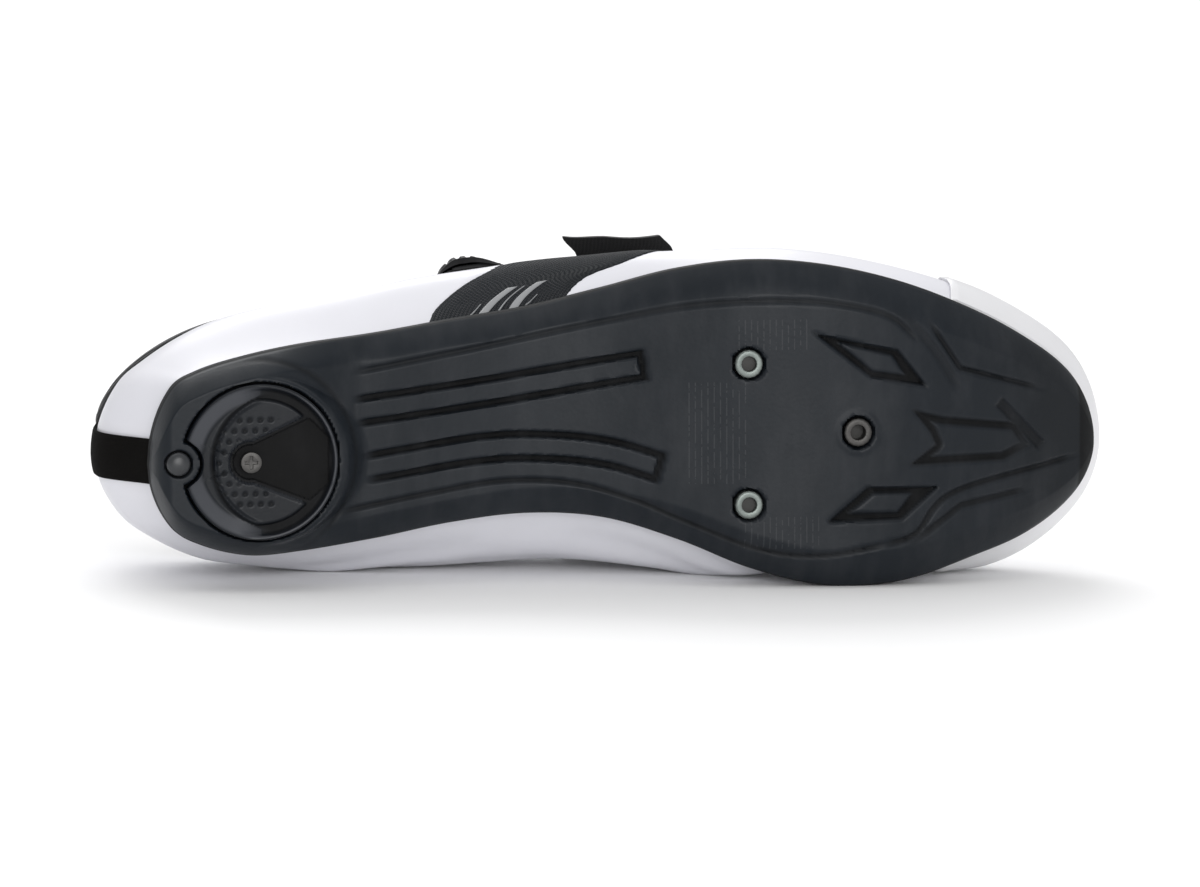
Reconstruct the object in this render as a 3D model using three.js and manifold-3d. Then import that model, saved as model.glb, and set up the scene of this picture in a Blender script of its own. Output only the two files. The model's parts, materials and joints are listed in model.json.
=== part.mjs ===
// A road cycling shoe for the right foot, lying on its inner side.
// Shoe frame while modelling: x runs from heel to toe, y to the inner side of the foot, z up from the ball.
import * as THREE from "three";
import { mergeVertices } from "three/addons/utils/BufferGeometryUtils.js";
import { ConvexHull } from "three/addons/math/ConvexHull.js";
import Module from "manifold-3d";

const wasm = await Module();
wasm.setup();

// Sole, in millimetres
const SOLE_LENGTH = 271;
const HEEL_WIDTH = 56;
const WAIST_WIDTH = 57;
const BALL_WIDTH = 89;
const HEEL_LIFT = 8;
const ARCH_LIFT = 11.5;
const TOE_SPRING = 25;
const SIDE_RISE = 5;
const SIDE_BAND = 10;
const EDGE_THICKNESS = 3.5;
const DISH_DEPTH = 3;
const RIM_WIDTH = 11;
const BREAST_AT = 51;
const BREAST_RUN = 6;
const BREAST_BOW = 7;

// Heel pad, its screw and rivet
const PAD_RADIUS = 21.5;
const PAD_AT = 29.5;
const PAD_HEIGHT = 4.2;
const PAD_PROUD = 1;
const PAD_SLOT_DEPTH = 1.4;
const SCREW_AT = 26.8;
const SCREW_RADIUS = 2.9;
const SCREW_HEIGHT = 1.1;
const SCREW_SEAT_RADIUS = 5;
const RIVET_AT = 6.8;
const RIVET_RADIUS = 3.3;
const RIVET_PROUD = 1;
const RIVET_BITE = 6.6;

// Threaded inserts
const INSERT_SPAN = 39.2;
const INSERT_REACH = 30.5;
const INSERT_AT = 166.6;
const INSERT_AXIS = -3.9;
const INSERT_RADIUS = 4;
const INSERT_BORE = 2.1;
const INSERT_HEIGHT = 3.6;
const INSERT_PROUD = 0.3;
const INSERT_CHAMFER = 0.4;

// Recesses moulded in the sole
const GROOVE_WIDTH = 1.8;
const GROOVE_DEPTH = 1.1;
const RECESS_DEPTH = 1.8;
const BAR_WIDTH = 8.4;
const TOE_BAR_WIDTH = 3.3;

// Upper
const WALL = 2;
const HEEL_OVERHANG = 10;
const TOE_OVERHANG = 2.5;
const SIDE_OVERHANG = 15;
const FEATHER_INSET = 1.2;
const MARGIN_WIDTH = 8;
const BELLY_RISE = 20;
const OPENING_LENGTH = 196;
const OPENING_START = -1;
const COLLAR_WIDTH = 65;
const THROAT_WIDTH = 33;
const HEEL_HEIGHT = 70;
const INSTEP_HEIGHT = 82;
const VAMP_HEIGHT = 58;

// Pieces on and in the upper
const OVERLAY_THICKNESS = 0.8;
const TOE_CAP_REACH = 42;
const HEEL_STRIP_WIDTH = 13.5;
const PADDING_THICKNESS = 4;
const PADDING_PROUD = 1.6;
const TONGUE_THICKNESS = 3;
const TONGUE_RISE = 24;
const INSOLE_THICKNESS = 3;
const STRAP_THICKNESS = 2;
const STRAP_CROWN = 4.3;
const TOOTHED_THICKNESS = 1.2;
const MESH_DEPTH = 0.7;
const FOREFOOT_STRAP_AT = 137;
const FOREFOOT_STRAP_WIDTH = 27;
const STRAP_END_LENGTH = 15;
const STRAP_END_LIFT = 8;
const INSTEP_STRAP_AT = 100;
const INSTEP_STRAP_WIDTH = 17;
const BUCKLE_WIDTH = 23;
const BUCKLE_BASE = 0.6;
const LEVER_HEIGHT = 2.2;
const LEVER_RIBS = 5;
const RIB_HEIGHT = 0.5;

// Clearances
const GAP = 0.3;
const SOFT_GAP = 0.6;

// Resolution
const SOLE_ROWS = 30;
const AROUND = 60;
const WALL_STEPS = 11;
const OUTLINE_STEP = 9;
const BAND_STEP = 8;

// Room that a cutter takes outside the solid it cuts
const CUTTER_ROOM = 6;
const POCKET_ROOM = 3;

// Largest share of a section that a side band, a rim or the dish takes, and half a section at its thinnest
const BAND_SHARE = 0.3;
const DISH_SHARE = 0.42;
const THINNEST = 0.001;

// Edges of the lining and the tongue, as ways up the wall or turns round the shoe in degrees
const PADDING_REACH = 74;
const PADDING_LOW_SHARE = 0.74;
const TONGUE_TURNS = [84, 91, 98, 106, 115, 124, 133, 142, 151, 160];
const TONGUE_CROWN_SHARE = 0.07;
const TONGUE_TUCK_SHARE = 0.015;

// Sole stations from heel to toe. lateral and medial: edge of the outline as shares of width.
// lift: height of the flat bottom as a share of height. side: rise of the edge above it.
const SOLE_STATIONS = [
  {
    at: 0, width: HEEL_WIDTH, lateral: -0.02, medial: 0.02,
    height: HEEL_LIFT, lift: 1, side: 0.2, band: 0.55,
  },
  {
    at: 0.023, width: HEEL_WIDTH, lateral: 0.352, medial: 0.334,
    height: HEEL_LIFT, lift: 1, side: 0.1, band: 0.55,
  },
  {
    at: 0.049, width: HEEL_WIDTH, lateral: 0.434, medial: 0.414,
    height: HEEL_LIFT, lift: 1, side: 0, band: 0.55,
  },
  {
    at: 0.101, width: HEEL_WIDTH, lateral: 0.507, medial: 0.477,
    height: HEEL_LIFT, lift: 1, side: 0, band: 0.55,
  },
  {
    at: 0.154, width: HEEL_WIDTH, lateral: 0.552, medial: 0.466,
    height: HEEL_LIFT, lift: 1.05, side: 0.2, band: 0.6,
  },
  {
    at: 0.236, width: WAIST_WIDTH, lateral: 0.582, medial: 0.412,
    height: ARCH_LIFT, lift: 0.8, side: 0.8, band: 0.7,
  },
  {
    at: 0.316, width: WAIST_WIDTH, lateral: 0.635, medial: 0.351,
    height: ARCH_LIFT, lift: 0.96, side: 0.95, band: 0.7,
  },
  {
    at: 0.395, width: WAIST_WIDTH, lateral: 0.688, medial: 0.318,
    height: ARCH_LIFT, lift: 1, side: 1, band: 0.75,
  },
  {
    at: 0.472, width: WAIST_WIDTH, lateral: 0.774, medial: 0.344,
    height: ARCH_LIFT, lift: 0.82, side: 1, band: 0.8,
  },
  {
    at: 0.546, width: BALL_WIDTH, lateral: 0.555, medial: 0.289,
    height: ARCH_LIFT, lift: 0.45, side: 1, band: 0.95,
  },
  {
    at: 0.621, width: BALL_WIDTH, lateral: 0.582, medial: 0.383,
    height: ARCH_LIFT, lift: 0.12, side: 1, band: 1,
  },
  {
    at: 0.698, width: BALL_WIDTH, lateral: 0.563, medial: 0.44,
    height: TOE_SPRING, lift: 0, side: 1, band: 1,
  },
  {
    at: 0.7775, width: BALL_WIDTH, lateral: 0.504, medial: 0.434,
    height: TOE_SPRING, lift: 0.05, side: 1, band: 1,
  },
  {
    at: 0.86, width: BALL_WIDTH, lateral: 0.403, medial: 0.369,
    height: TOE_SPRING, lift: 0.28, side: 1, band: 0.9,
  },
  {
    at: 0.916, width: BALL_WIDTH, lateral: 0.311, medial: 0.3135,
    height: TOE_SPRING, lift: 0.51, side: 0.9, band: 0.8,
  },
  {
    at: 0.974, width: BALL_WIDTH, lateral: 0.172, medial: 0.202,
    height: TOE_SPRING, lift: 0.82, side: 0.7, band: 0.6,
  },
  {
    at: 1, width: BALL_WIDTH, lateral: -0.037, medial: 0.037,
    height: TOE_SPRING, lift: 1, side: 0.6, band: 0.5,
  },
];

// Sections of the upper, by the turn round the shoe from heel (0) to toe (180).
// lateral and medial: overhang of the belly as shares of SIDE_OVERHANG. rise: belly above the sole.
// along, lateralIn, medialIn and up: way from belly to rim at the shoulder.
const UPPER_SECTIONS = [
  {
    turn: 0, lateral: 0, medial: 0, rise: 1,
    along: 0.25, lateralIn: 0.3, medialIn: 0.3, up: 0.52,
  },
  {
    turn: 20, lateral: -0.05, medial: -0.05, rise: 1,
    along: 0.3, lateralIn: 0.25, medialIn: 0.2, up: 0.52,
  },
  {
    turn: 40, lateral: 0.38, medial: 0.31, rise: 1.05,
    along: 0.5, lateralIn: 0.3, medialIn: 0.16, up: 0.52,
  },
  {
    turn: 60, lateral: 0.61, medial: 0.81, rise: 0.9,
    along: 0.45, lateralIn: 0.42, medialIn: 0.25, up: 0.5,
  },
  {
    turn: 80, lateral: 0.55, medial: 1, rise: 0.7,
    along: 0.4, lateralIn: 0.3, medialIn: 0.08, up: 0.58,
  },
  {
    turn: 100, lateral: 0.15, medial: 0.45, rise: 0.62,
    along: 0.33, lateralIn: 0.36, medialIn: 0.2, up: 0.5,
  },
  {
    turn: 110, lateral: 0.14, medial: -0.05, rise: 0.62,
    along: 0.35, lateralIn: 0.32, medialIn: 0.23, up: 0.51,
  },
  {
    turn: 120, lateral: 0.17, medial: -0.07, rise: 0.65,
    along: 0.36, lateralIn: 0.28, medialIn: 0.26, up: 0.52,
  },
  {
    turn: 130, lateral: 0.26, medial: 0.13, rise: 0.63,
    along: 0.35, lateralIn: 0.31, medialIn: 0.3, up: 0.54,
  },
  {
    turn: 140, lateral: 0.32, medial: 0.38, rise: 0.6,
    along: 0.34, lateralIn: 0.34, medialIn: 0.34, up: 0.55,
  },
  {
    turn: 160, lateral: 0.27, medial: 0.25, rise: 0.4,
    along: 0.22, lateralIn: 0.36, medialIn: 0.36, up: 0.6,
  },
  {
    turn: 180, lateral: 0, medial: 0, rise: 0.3,
    along: 0.15, lateralIn: 0.2, medialIn: 0.2, up: 0.62,
  },
];

// Edge of the opening, from the back of the collar to the front of the throat, by the same turn.
// at: share of OPENING_LENGTH. lateral and medial: shares of width. top: share of height.
const OPENING_EDGE = [
  { turn: 0, at: 0, width: COLLAR_WIDTH, lateral: 0, medial: 0, height: HEEL_HEIGHT, top: 1 },
  { turn: 20, at: 0.03, width: COLLAR_WIDTH, lateral: 0.21, medial: 0.21, height: HEEL_HEIGHT, top: 0.98 },
  { turn: 40, at: 0.117, width: COLLAR_WIDTH, lateral: 0.395, medial: 0.39, height: HEEL_HEIGHT, top: 0.9 },
  { turn: 60, at: 0.25, width: COLLAR_WIDTH, lateral: 0.49, medial: 0.52, height: HEEL_HEIGHT, top: 0.83 },
  { turn: 80, at: 0.413, width: COLLAR_WIDTH, lateral: 0.45, medial: 0.5, height: INSTEP_HEIGHT, top: 0.88 },
  { turn: 100, at: 0.577, width: THROAT_WIDTH, lateral: 0.54, medial: 0.5, height: INSTEP_HEIGHT, top: 1 },
  { turn: 120, at: 0.75, width: THROAT_WIDTH, lateral: 0.48, medial: 0.43, height: INSTEP_HEIGHT, top: 0.9 },
  { turn: 140, at: 0.883, width: THROAT_WIDTH, lateral: 0.42, medial: 0.38, height: VAMP_HEIGHT, top: 1.135 },
  { turn: 160, at: 0.97, width: THROAT_WIDTH, lateral: 0.28, medial: 0.25, height: VAMP_HEIGHT, top: 1.04 },
  { turn: 180, at: 1, width: THROAT_WIDTH, lateral: 0, medial: 0, height: VAMP_HEIGHT, top: 1 },
];

// Centre lines of the two long bars in the waist, as shares of SOLE_LENGTH and WAIST_WIDTH.
const WAIST_BARS = {
  lateral: [
    { at: 0.243, side: -0.232 },
    { at: 0.36, side: -0.296 },
    { at: 0.514, side: -0.405 },
  ],
  medial: [
    { at: 0.247, side: 0.054 },
    { at: 0.343, side: -0.012 },
    { at: 0.415, side: -0.014 },
    { at: 0.475, side: 0.02 },
    { at: 0.528, side: 0.095 },
  ],
};

// Corners of the forefoot diamonds and toe recess, as shares of SOLE_LENGTH and BALL_WIDTH.
const FOREFOOT_RECESSES = [
  {
    name: "lateral diamond",
    depth: GROOVE_DEPTH,
    corners: [[0.682, -0.356], [0.77, -0.296], [0.801, -0.18], [0.742, -0.213]],
  },
  {
    name: "lateral diamond floor",
    depth: RECESS_DEPTH,
    corners: [[0.706, -0.326], [0.764, -0.281], [0.778, -0.217], [0.743, -0.233]],
  },
  {
    name: "medial diamond",
    depth: GROOVE_DEPTH,
    corners: [[0.696, 0.236], [0.738, 0.13], [0.814, 0.137], [0.774, 0.234]],
  },
  {
    name: "medial diamond floor",
    depth: RECESS_DEPTH,
    corners: [[0.718, 0.21], [0.744, 0.149], [0.786, 0.153], [0.77, 0.213]],
  },
  {
    name: "toe recess",
    depth: GROOVE_DEPTH,
    corners: [
      [0.779, -0.116], [0.803, -0.084], [0.903, -0.042],
      [0.922, 0.06], [0.774, 0.058], [0.807, -0.026],
    ],
  },
];

// Long grooves of the forefoot and toe, with the same shares.
const FOREFOOT_GROOVES = [
  {
    name: "toe bar",
    width: TOE_BAR_WIDTH,
    line: [[0.889, -0.105], [0.93, 0.023]],
  },
  {
    name: "lateral toe groove",
    width: GROOVE_WIDTH,
    line: [[0.794, -0.384], [0.834, -0.239], [0.924, -0.146]],
  },
  {
    name: "medial toe groove",
    width: GROOVE_WIDTH,
    line: [[0.756, 0.303], [0.815, 0.148], [0.972, 0.09]],
  },
  {
    name: "medial second groove",
    width: GROOVE_WIDTH,
    line: [[0.815, 0.274], [0.842, 0.2], [0.918, 0.175]],
  },
];

// Back and front edges of the mesh on the lateral side, as shares of SOLE_LENGTH, by the way up the wall.
const MESH_EDGES = [
  { place: 0.03, back: 0.295, front: 0.439 },
  { place: 0.33, back: 0.343, front: 0.48 },
  { place: 0.5, back: 0.376, front: 0.55 },
  { place: 0.7, back: 0.399, front: 0.59 },
  { place: 0.9, back: 0.406, front: 0.613 },
];

const UP = new THREE.Vector3(0, 0, 1);
const LATERAL = -1;
const MEDIAL = 1;

const vector = (x, y, z) => new THREE.Vector3(x, y, z);
const clamp = THREE.MathUtils.clamp;
const mix = THREE.MathUtils.lerp;
const radians = THREE.MathUtils.degToRad;

// Value of a column at a place in a table, on a cubic curve through the rows. An even column is level at
// both ends, as the two sides of the shoe mirror each other there.
function read(table, place, column, even) {
  const last = table.length - 1;
  let i = 0;
  while (i < last - 1 && place > table[i + 1].place) i++;
  const slope = (k) => {
    if (even && (k === 0 || k === last)) return 0;
    const a = table[Math.max(k - 1, 0)];
    const b = table[Math.min(k + 1, last)];
    return (b[column] - a[column]) / (b.place - a.place);
  };
  const span = table[i + 1].place - table[i].place;
  const t = (place - table[i].place) / span;
  const u = 1 - t;
  return (
    u * u * (1 + 2 * t) * table[i][column] +
    t * t * (1 + 2 * u) * table[i + 1][column] +
    t * u * u * span * slope(i) -
    t * t * u * span * slope(i + 1)
  );
}

const turnOf = (share) => Math.acos(clamp(1 - 2 * share, -1, 1));
const shareOf = (turn) => (1 - Math.cos(turn)) / 2;

const soleTable = SOLE_STATIONS.map((row) => ({
  place: turnOf(row.at),
  lateral: row.lateral * row.width,
  medial: row.medial * row.width,
  plate: row.lift * row.height,
  edge: row.lift * row.height + row.side * SIDE_RISE,
  band: row.band * SIDE_BAND,
}));

const upperTable = UPPER_SECTIONS.map((row) => ({
  ...row,
  place: radians(row.turn),
  lateral: row.lateral * SIDE_OVERHANG,
  medial: row.medial * SIDE_OVERHANG,
}));

const openingTable = OPENING_EDGE.map((row) => ({
  place: radians(row.turn),
  x: OPENING_START + row.at * OPENING_LENGTH,
  lateral: row.lateral * row.width,
  medial: row.medial * row.width,
  z: row.top * row.height,
}));

// Section of the sole at x: outline on both sides, bottom, edge and rim heights.
function soleAt(x) {
  const turn = turnOf(clamp(x / SOLE_LENGTH, 0, 1));
  const edge = read(soleTable, turn, "edge", true);
  return {
    lateral: -read(soleTable, turn, "lateral", false),
    medial: read(soleTable, turn, "medial", false),
    plate: read(soleTable, turn, "plate", true),
    edge,
    band: read(soleTable, turn, "band", true),
    rim: edge + EDGE_THICKNESS,
  };
}

// Height of the flat bottom: the heel block reaches the ground, and both ends roll up to the edge.
function flatAt(x) {
  const s = soleAt(x);
  const block = HEEL_LIFT * clamp((BREAST_AT + BREAST_RUN - x) / BREAST_RUN, 0, 1);
  const end = clamp(Math.min(x, SOLE_LENGTH - x) / s.band, 0, 1);
  return mix(s.edge, s.plate - block, Math.sqrt(end * (2 - end)));
}

// Width of the side bands in a section: narrower where the sole itself narrows to its ends.
const bandOf = (s) => Math.min(s.band, BAND_SHARE * Math.max(s.medial - s.lateral, GAP));

// Height of the sole's underside at a point, with its side bands.
function bottomAt(x, y) {
  const s = soleAt(x);
  const band = bandOf(s);
  const inward = Math.min(y - s.lateral, s.medial - y);
  const share = clamp(1 - inward / band, 0, 1);
  return mix(flatAt(x), s.edge, share * share * 0.5 + share * 0.5);
}

// Height of the sole's upper side, level at the rim and dished between.
function topAt(x, y) {
  const s = soleAt(x);
  const inward = Math.min(y - s.lateral, s.medial - y, x, SOLE_LENGTH - x);
  return s.rim - DISH_DEPTH * clamp((inward - RIM_WIDTH) / RIM_WIDTH, 0, 1);
}

const rimAt = (x) => soleAt(x).rim;

// Mesh from a grid of points. closedAcross joins the last column to the first, closedAlong the last row.
function gridGeometry(rows, closedAcross, closedAlong) {
  const columns = rows[0].length;
  const positions = rows.flat().flatMap((p) => [p.x, p.y, p.z]);
  const index = [];
  const lastRow = closedAlong ? rows.length : rows.length - 1;
  const lastColumn = closedAcross ? columns : columns - 1;
  for (let i = 0; i < lastRow; i++) {
    for (let j = 0; j < lastColumn; j++) {
      const a = i * columns + j;
      const b = i * columns + ((j + 1) % columns);
      const c = ((i + 1) % rows.length) * columns + ((j + 1) % columns);
      const d = ((i + 1) % rows.length) * columns + j;
      index.push(a, b, c, a, c, d);
    }
  }
  const geometry = new THREE.BufferGeometry();
  geometry.setAttribute("position", new THREE.Float32BufferAttribute(positions, 3));
  geometry.setIndex(index);
  return geometry;
}

// The same surface with shared corners, without collapsed triangles.
function weld(geometry) {
  const bare = new THREE.BufferGeometry();
  bare.setAttribute("position", geometry.getAttribute("position").clone());
  if (geometry.index) bare.setIndex(geometry.index.clone());
  const merged = mergeVertices(bare, 1e-4);
  const index = merged.index.array;
  const kept = [];
  for (let i = 0; i < index.length; i += 3) {
    const [a, b, c] = [index[i], index[i + 1], index[i + 2]];
    if (a !== b && b !== c && c !== a) kept.push(a, b, c);
  }
  merged.setIndex(kept);
  return merged;
}

// Signed volume and first moment of a closed mesh.
function massOf(geometry) {
  const position = geometry.getAttribute("position");
  const index = geometry.index.array;
  const moment = vector(0, 0, 0);
  let volume = 0;
  const [a, b, c] = [vector(), vector(), vector()];
  for (let i = 0; i < index.length; i += 3) {
    a.fromBufferAttribute(position, index[i]);
    b.fromBufferAttribute(position, index[i + 1]);
    c.fromBufferAttribute(position, index[i + 2]);
    const part = a.dot(b.clone().cross(c)) / 6;
    volume += part;
    moment.addScaledVector(a.clone().add(b).add(c), part / 4);
  }
  return { volume, moment };
}

// Closed mesh with its faces turned outwards.
function outward(geometry) {
  const welded = weld(geometry);
  if (massOf(welded).volume < 0) {
    const index = welded.index.array;
    for (let i = 0; i < index.length; i += 3) [index[i], index[i + 1]] = [index[i + 1], index[i]];
  }
  return welded;
}

function solidOf(geometry) {
  const closed = outward(geometry);
  return new wasm.Manifold(
    new wasm.Mesh({
      numProp: 3,
      vertProperties: new Float32Array(closed.getAttribute("position").array),
      triVerts: new Uint32Array(closed.index.array),
    }),
  );
}

function geometryOf(solid) {
  const mesh = solid.getMesh();
  const geometry = new THREE.BufferGeometry();
  geometry.setAttribute("position", new THREE.Float32BufferAttribute(mesh.vertProperties, 3));
  geometry.setIndex([...mesh.triVerts]);
  return geometry;
}

const cut = (geometry, cutters) =>
  geometryOf(cutters.reduce((solid, cutter) => solid.subtract(solidOf(cutter)), solidOf(geometry)));

// Closed slab between two grids of points with the same rows and columns.
function slab(upper, lower) {
  const rows = upper.map((row, i) => [...row, ...lower[i].slice().reverse()]);
  const body = gridGeometry(rows, true, false);
  const columns = upper[0].length;
  const index = [...body.index.array];
  const cap = (row, turned) => {
    const base = row * 2 * columns;
    for (let j = 0; j < columns - 1; j++) {
      const quad = [base + j, base + j + 1, base + 2 * columns - 2 - j, base + 2 * columns - 1 - j];
      const [a, b, c, d] = turned ? quad.reverse() : quad;
      index.push(a, b, c, a, c, d);
    }
  };
  cap(0, true);
  cap(rows.length - 1, false);
  body.setIndex(index);
  return body;
}

// Upright prism of an outline, with the sole's underside as its floor level.
function moulded(shape, depth, below = CUTTER_ROOM) {
  const geometry = new THREE.ExtrudeGeometry(shape, {
    depth: depth + below,
    bevelEnabled: false,
    curveSegments: 12,
  });
  const position = geometry.getAttribute("position");
  for (let i = 0; i < position.count; i++) {
    const x = position.getX(i);
    const y = position.getY(i);
    position.setZ(i, position.getZ(i) - below + bottomAt(x, y));
  }
  return geometry;
}

// Points every few millimetres along a line through the given ones.
function stepped(points, step) {
  const line = [];
  points.forEach((point, i) => {
    const next = points[(i + 1) % points.length];
    const count = Math.max(1, Math.round(point.distanceTo(next) / step));
    for (let k = 0; k < count; k++) line.push(point.clone().lerp(next, k / count));
  });
  return line;
}

// Outline of a band of the given width about a centre line.
function bandShape(centre, width) {
  const curve = new THREE.SplineCurve(centre);
  const steps = Math.max(2, Math.round(curve.getLength() / BAND_STEP));
  const sides = [[], []];
  for (let i = 0; i <= steps; i++) {
    const point = curve.getPoint(i / steps);
    const tangent = curve.getTangent(i / steps);
    const across = new THREE.Vector2(-tangent.y, tangent.x).multiplyScalar(width / 2);
    sides[0].push(point.clone().add(across));
    sides[1].push(point.clone().sub(across));
  }
  return [...sides[0], ...sides[1].reverse()];
}

const flatPoint = ([at, side]) => new THREE.Vector2(at * SOLE_LENGTH, side * BALL_WIDTH);

// Groove round a long bar, which leaves the bar's own face standing.
function waistBarCutter(rows) {
  const centre = rows.map((row) => new THREE.Vector2(row.at * SOLE_LENGTH, row.side * WAIST_WIDTH));
  const last = centre.length - 1;
  const shortened = (end, next) => end.clone().lerp(next, GROOVE_WIDTH / end.distanceTo(next));
  const start = shortened(centre[0], centre[1]);
  const end = shortened(centre[last], centre[last - 1]);
  const island = [start, ...centre.slice(1, -1), end];
  const around = moulded(new THREE.Shape(bandShape(centre, BAR_WIDTH)), GROOVE_DEPTH);
  const face = new THREE.Shape(bandShape(island, BAR_WIDTH - 2 * GROOVE_WIDTH));
  const within = moulded(face, 2 * GROOVE_DEPTH, CUTTER_ROOM + GROOVE_DEPTH);
  return cut(around, [within]);
}

// Outline of the heel pad with the bite that clears the rivet, grown by a clearance.
function padSolid(grow, height) {
  const disc = new THREE.CylinderGeometry(PAD_RADIUS + grow, PAD_RADIUS + grow, height, 48);
  disc.rotateX(Math.PI / 2).translate(PAD_AT, 0, height / 2);
  const bite = new THREE.CylinderGeometry(RIVET_BITE - grow, RIVET_BITE - grow, 3 * height, 24);
  bite.rotateX(Math.PI / 2).translate(RIVET_AT, 0, height / 2);
  return cut(disc, [bite]);
}

const insertPlaces = {
  cleat_insert_rear_lateral: [INSERT_AT, INSERT_AXIS - INSERT_SPAN / 2],
  cleat_insert_rear_medial: [INSERT_AT, INSERT_AXIS + INSERT_SPAN / 2],
  cleat_insert_front: [INSERT_AT + INSERT_REACH, INSERT_AXIS],
};

function upright(radius, height, x, y, low, segments = 20) {
  const cylinder = new THREE.CylinderGeometry(radius, radius, height, segments);
  return cylinder.rotateX(Math.PI / 2).translate(x, y, low + height / 2);
}

// Rows of the sole, closer together at the front wall of the heel block.
function soleRows() {
  const turns = Array.from({ length: SOLE_ROWS + 1 }, (_, i) => (Math.PI * i) / SOLE_ROWS);
  const spaced = turns.map((turn) => SOLE_LENGTH * shareOf(turn));
  const wall = [-1, 0, BREAST_RUN / 2, BREAST_RUN, BREAST_RUN + 1].map((step) => BREAST_AT + step);
  const clear = spaced.filter((x) => x < wall[0] - 1 || x > wall[4] + 1);
  return [...clear, ...wall].sort((a, b) => a - b);
}

function outsole() {
  const across = [0, 0.25, 0.5, 0.75, 1];
  const rows = soleRows().map((x) => {
    const s = soleAt(x);
    const band = Math.min(bandOf(s), BAND_SHARE * (s.medial - s.lateral));
    const sides = [0, 0.33, 0.66].map((share) => share * band);
    const flat = across.map((share) => mix(s.lateral + band, s.medial - band, share));
    const lateral = sides.map((d) => s.lateral + d);
    const medial = sides.reverse().map((d) => s.medial - d);
    const bottom = [...lateral, ...flat, ...medial];
    const middle = (s.lateral + s.medial) / 2;
    const half = Math.max((s.medial - s.lateral) / 2, THINNEST);
    const bowed = bottom.map((y) => {
      const share = (y - middle) / half;
      const window = clamp(1.6 - Math.abs(x - BREAST_AT - BREAST_RUN / 2) / (2.5 * BREAST_BOW), 0, 1);
      const bow = BREAST_BOW * (1 - share * share) * window;
      return vector(x + bow, y, mix(bottomAt(x, y), s.edge, Math.abs(share) > 1 - THINNEST / 10 ? 1 : 0));
    });
    const rim = Math.min(RIM_WIDTH, BAND_SHARE * (s.medial - s.lateral));
    const dish = Math.min(2 * RIM_WIDTH, DISH_SHARE * (s.medial - s.lateral));
    const ys = [s.medial, s.medial - rim, s.medial - dish, s.lateral + dish, s.lateral + rim, s.lateral];
    return [...bowed, ...ys.map((y) => vector(x, y, topAt(x, y)))];
  });
  const cutters = [
    waistBarCutter(WAIST_BARS.lateral),
    waistBarCutter(WAIST_BARS.medial),
    ...FOREFOOT_RECESSES.map(({ corners, depth }) =>
      moulded(new THREE.Shape(stepped(corners.map(flatPoint), OUTLINE_STEP)), depth),
    ),
    ...FOREFOOT_GROOVES.map(({ line, width }) => {
      const points = line.map(flatPoint);
      return moulded(new THREE.Shape(bandShape(points, width)), GROOVE_DEPTH);
    }),
    padSolid(GAP, PAD_HEIGHT + GAP).translate(0, 0, -PAD_PROUD),
    upright(RIVET_RADIUS + GAP, PAD_HEIGHT, RIVET_AT, 0, -RIVET_PROUD),
    ...Object.values(insertPlaces).map(([x, y]) =>
      upright(INSERT_RADIUS + GAP, INSERT_HEIGHT + GAP, x, y, bottomAt(x, y) - INSERT_PROUD),
    ),
  ];
  return cut(gridGeometry(rows, true, false), cutters);
}

function heelPad() {
  const pad = padSolid(0, PAD_HEIGHT).translate(0, 0, -PAD_PROUD);
  const seat = upright(SCREW_SEAT_RADIUS, PAD_SLOT_DEPTH + 1, SCREW_AT, 0, -PAD_PROUD - 1);
  const reach = PAD_AT + 0.82 * PAD_RADIUS;
  const wedge = new THREE.Shape([
    new THREE.Vector2(SCREW_AT, -0.93 * SCREW_SEAT_RADIUS),
    new THREE.Vector2(reach, -0.45 * PAD_RADIUS),
    new THREE.Vector2(reach, 0.38 * PAD_RADIUS),
    new THREE.Vector2(SCREW_AT, 0.93 * SCREW_SEAT_RADIUS),
  ]);
  const slot = new THREE.ExtrudeGeometry(wedge, { depth: PAD_SLOT_DEPTH + 1, bevelEnabled: false });
  return cut(pad, [seat, slot.translate(0, 0, -PAD_PROUD - 1)]);
}

function heelScrew() {
  const low = -PAD_PROUD + PAD_SLOT_DEPTH - GAP - SCREW_HEIGHT;
  const head = upright(SCREW_RADIUS, SCREW_HEIGHT, SCREW_AT, 0, low, 24);
  const arm = (long, wide) =>
    new THREE.BoxGeometry(long, wide, SCREW_HEIGHT).translate(SCREW_AT, 0, low);
  const [length, width] = [1.24 * SCREW_RADIUS, 0.3 * SCREW_RADIUS];
  return cut(head, [arm(length, width), arm(width, length)]);
}

function heelRivet() {
  const profile = [
    new THREE.Vector2(0, -RIVET_PROUD),
    new THREE.Vector2(0.5 * RIVET_RADIUS, -0.85 * RIVET_PROUD),
    new THREE.Vector2(0.85 * RIVET_RADIUS, -0.45 * RIVET_PROUD),
    new THREE.Vector2(RIVET_RADIUS, 0),
    new THREE.Vector2(RIVET_RADIUS, PAD_HEIGHT - RIVET_PROUD - GAP),
    new THREE.Vector2(0, PAD_HEIGHT - RIVET_PROUD - GAP),
  ];
  return new THREE.LatheGeometry(profile, 20).rotateX(Math.PI / 2).translate(RIVET_AT, 0, 0);
}

function cleatInsert(x, y) {
  const low = bottomAt(x, y) - INSERT_PROUD;
  const profile = [
    new THREE.Vector2(INSERT_BORE, 0),
    new THREE.Vector2(INSERT_RADIUS - INSERT_CHAMFER, 0),
    new THREE.Vector2(INSERT_RADIUS, INSERT_CHAMFER),
    new THREE.Vector2(INSERT_RADIUS, INSERT_HEIGHT),
    new THREE.Vector2(INSERT_BORE, INSERT_HEIGHT),
    new THREE.Vector2(INSERT_BORE, 0),
  ];
  return new THREE.LatheGeometry(profile, 16).rotateX(Math.PI / 2).translate(x, y, low);
}

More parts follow.
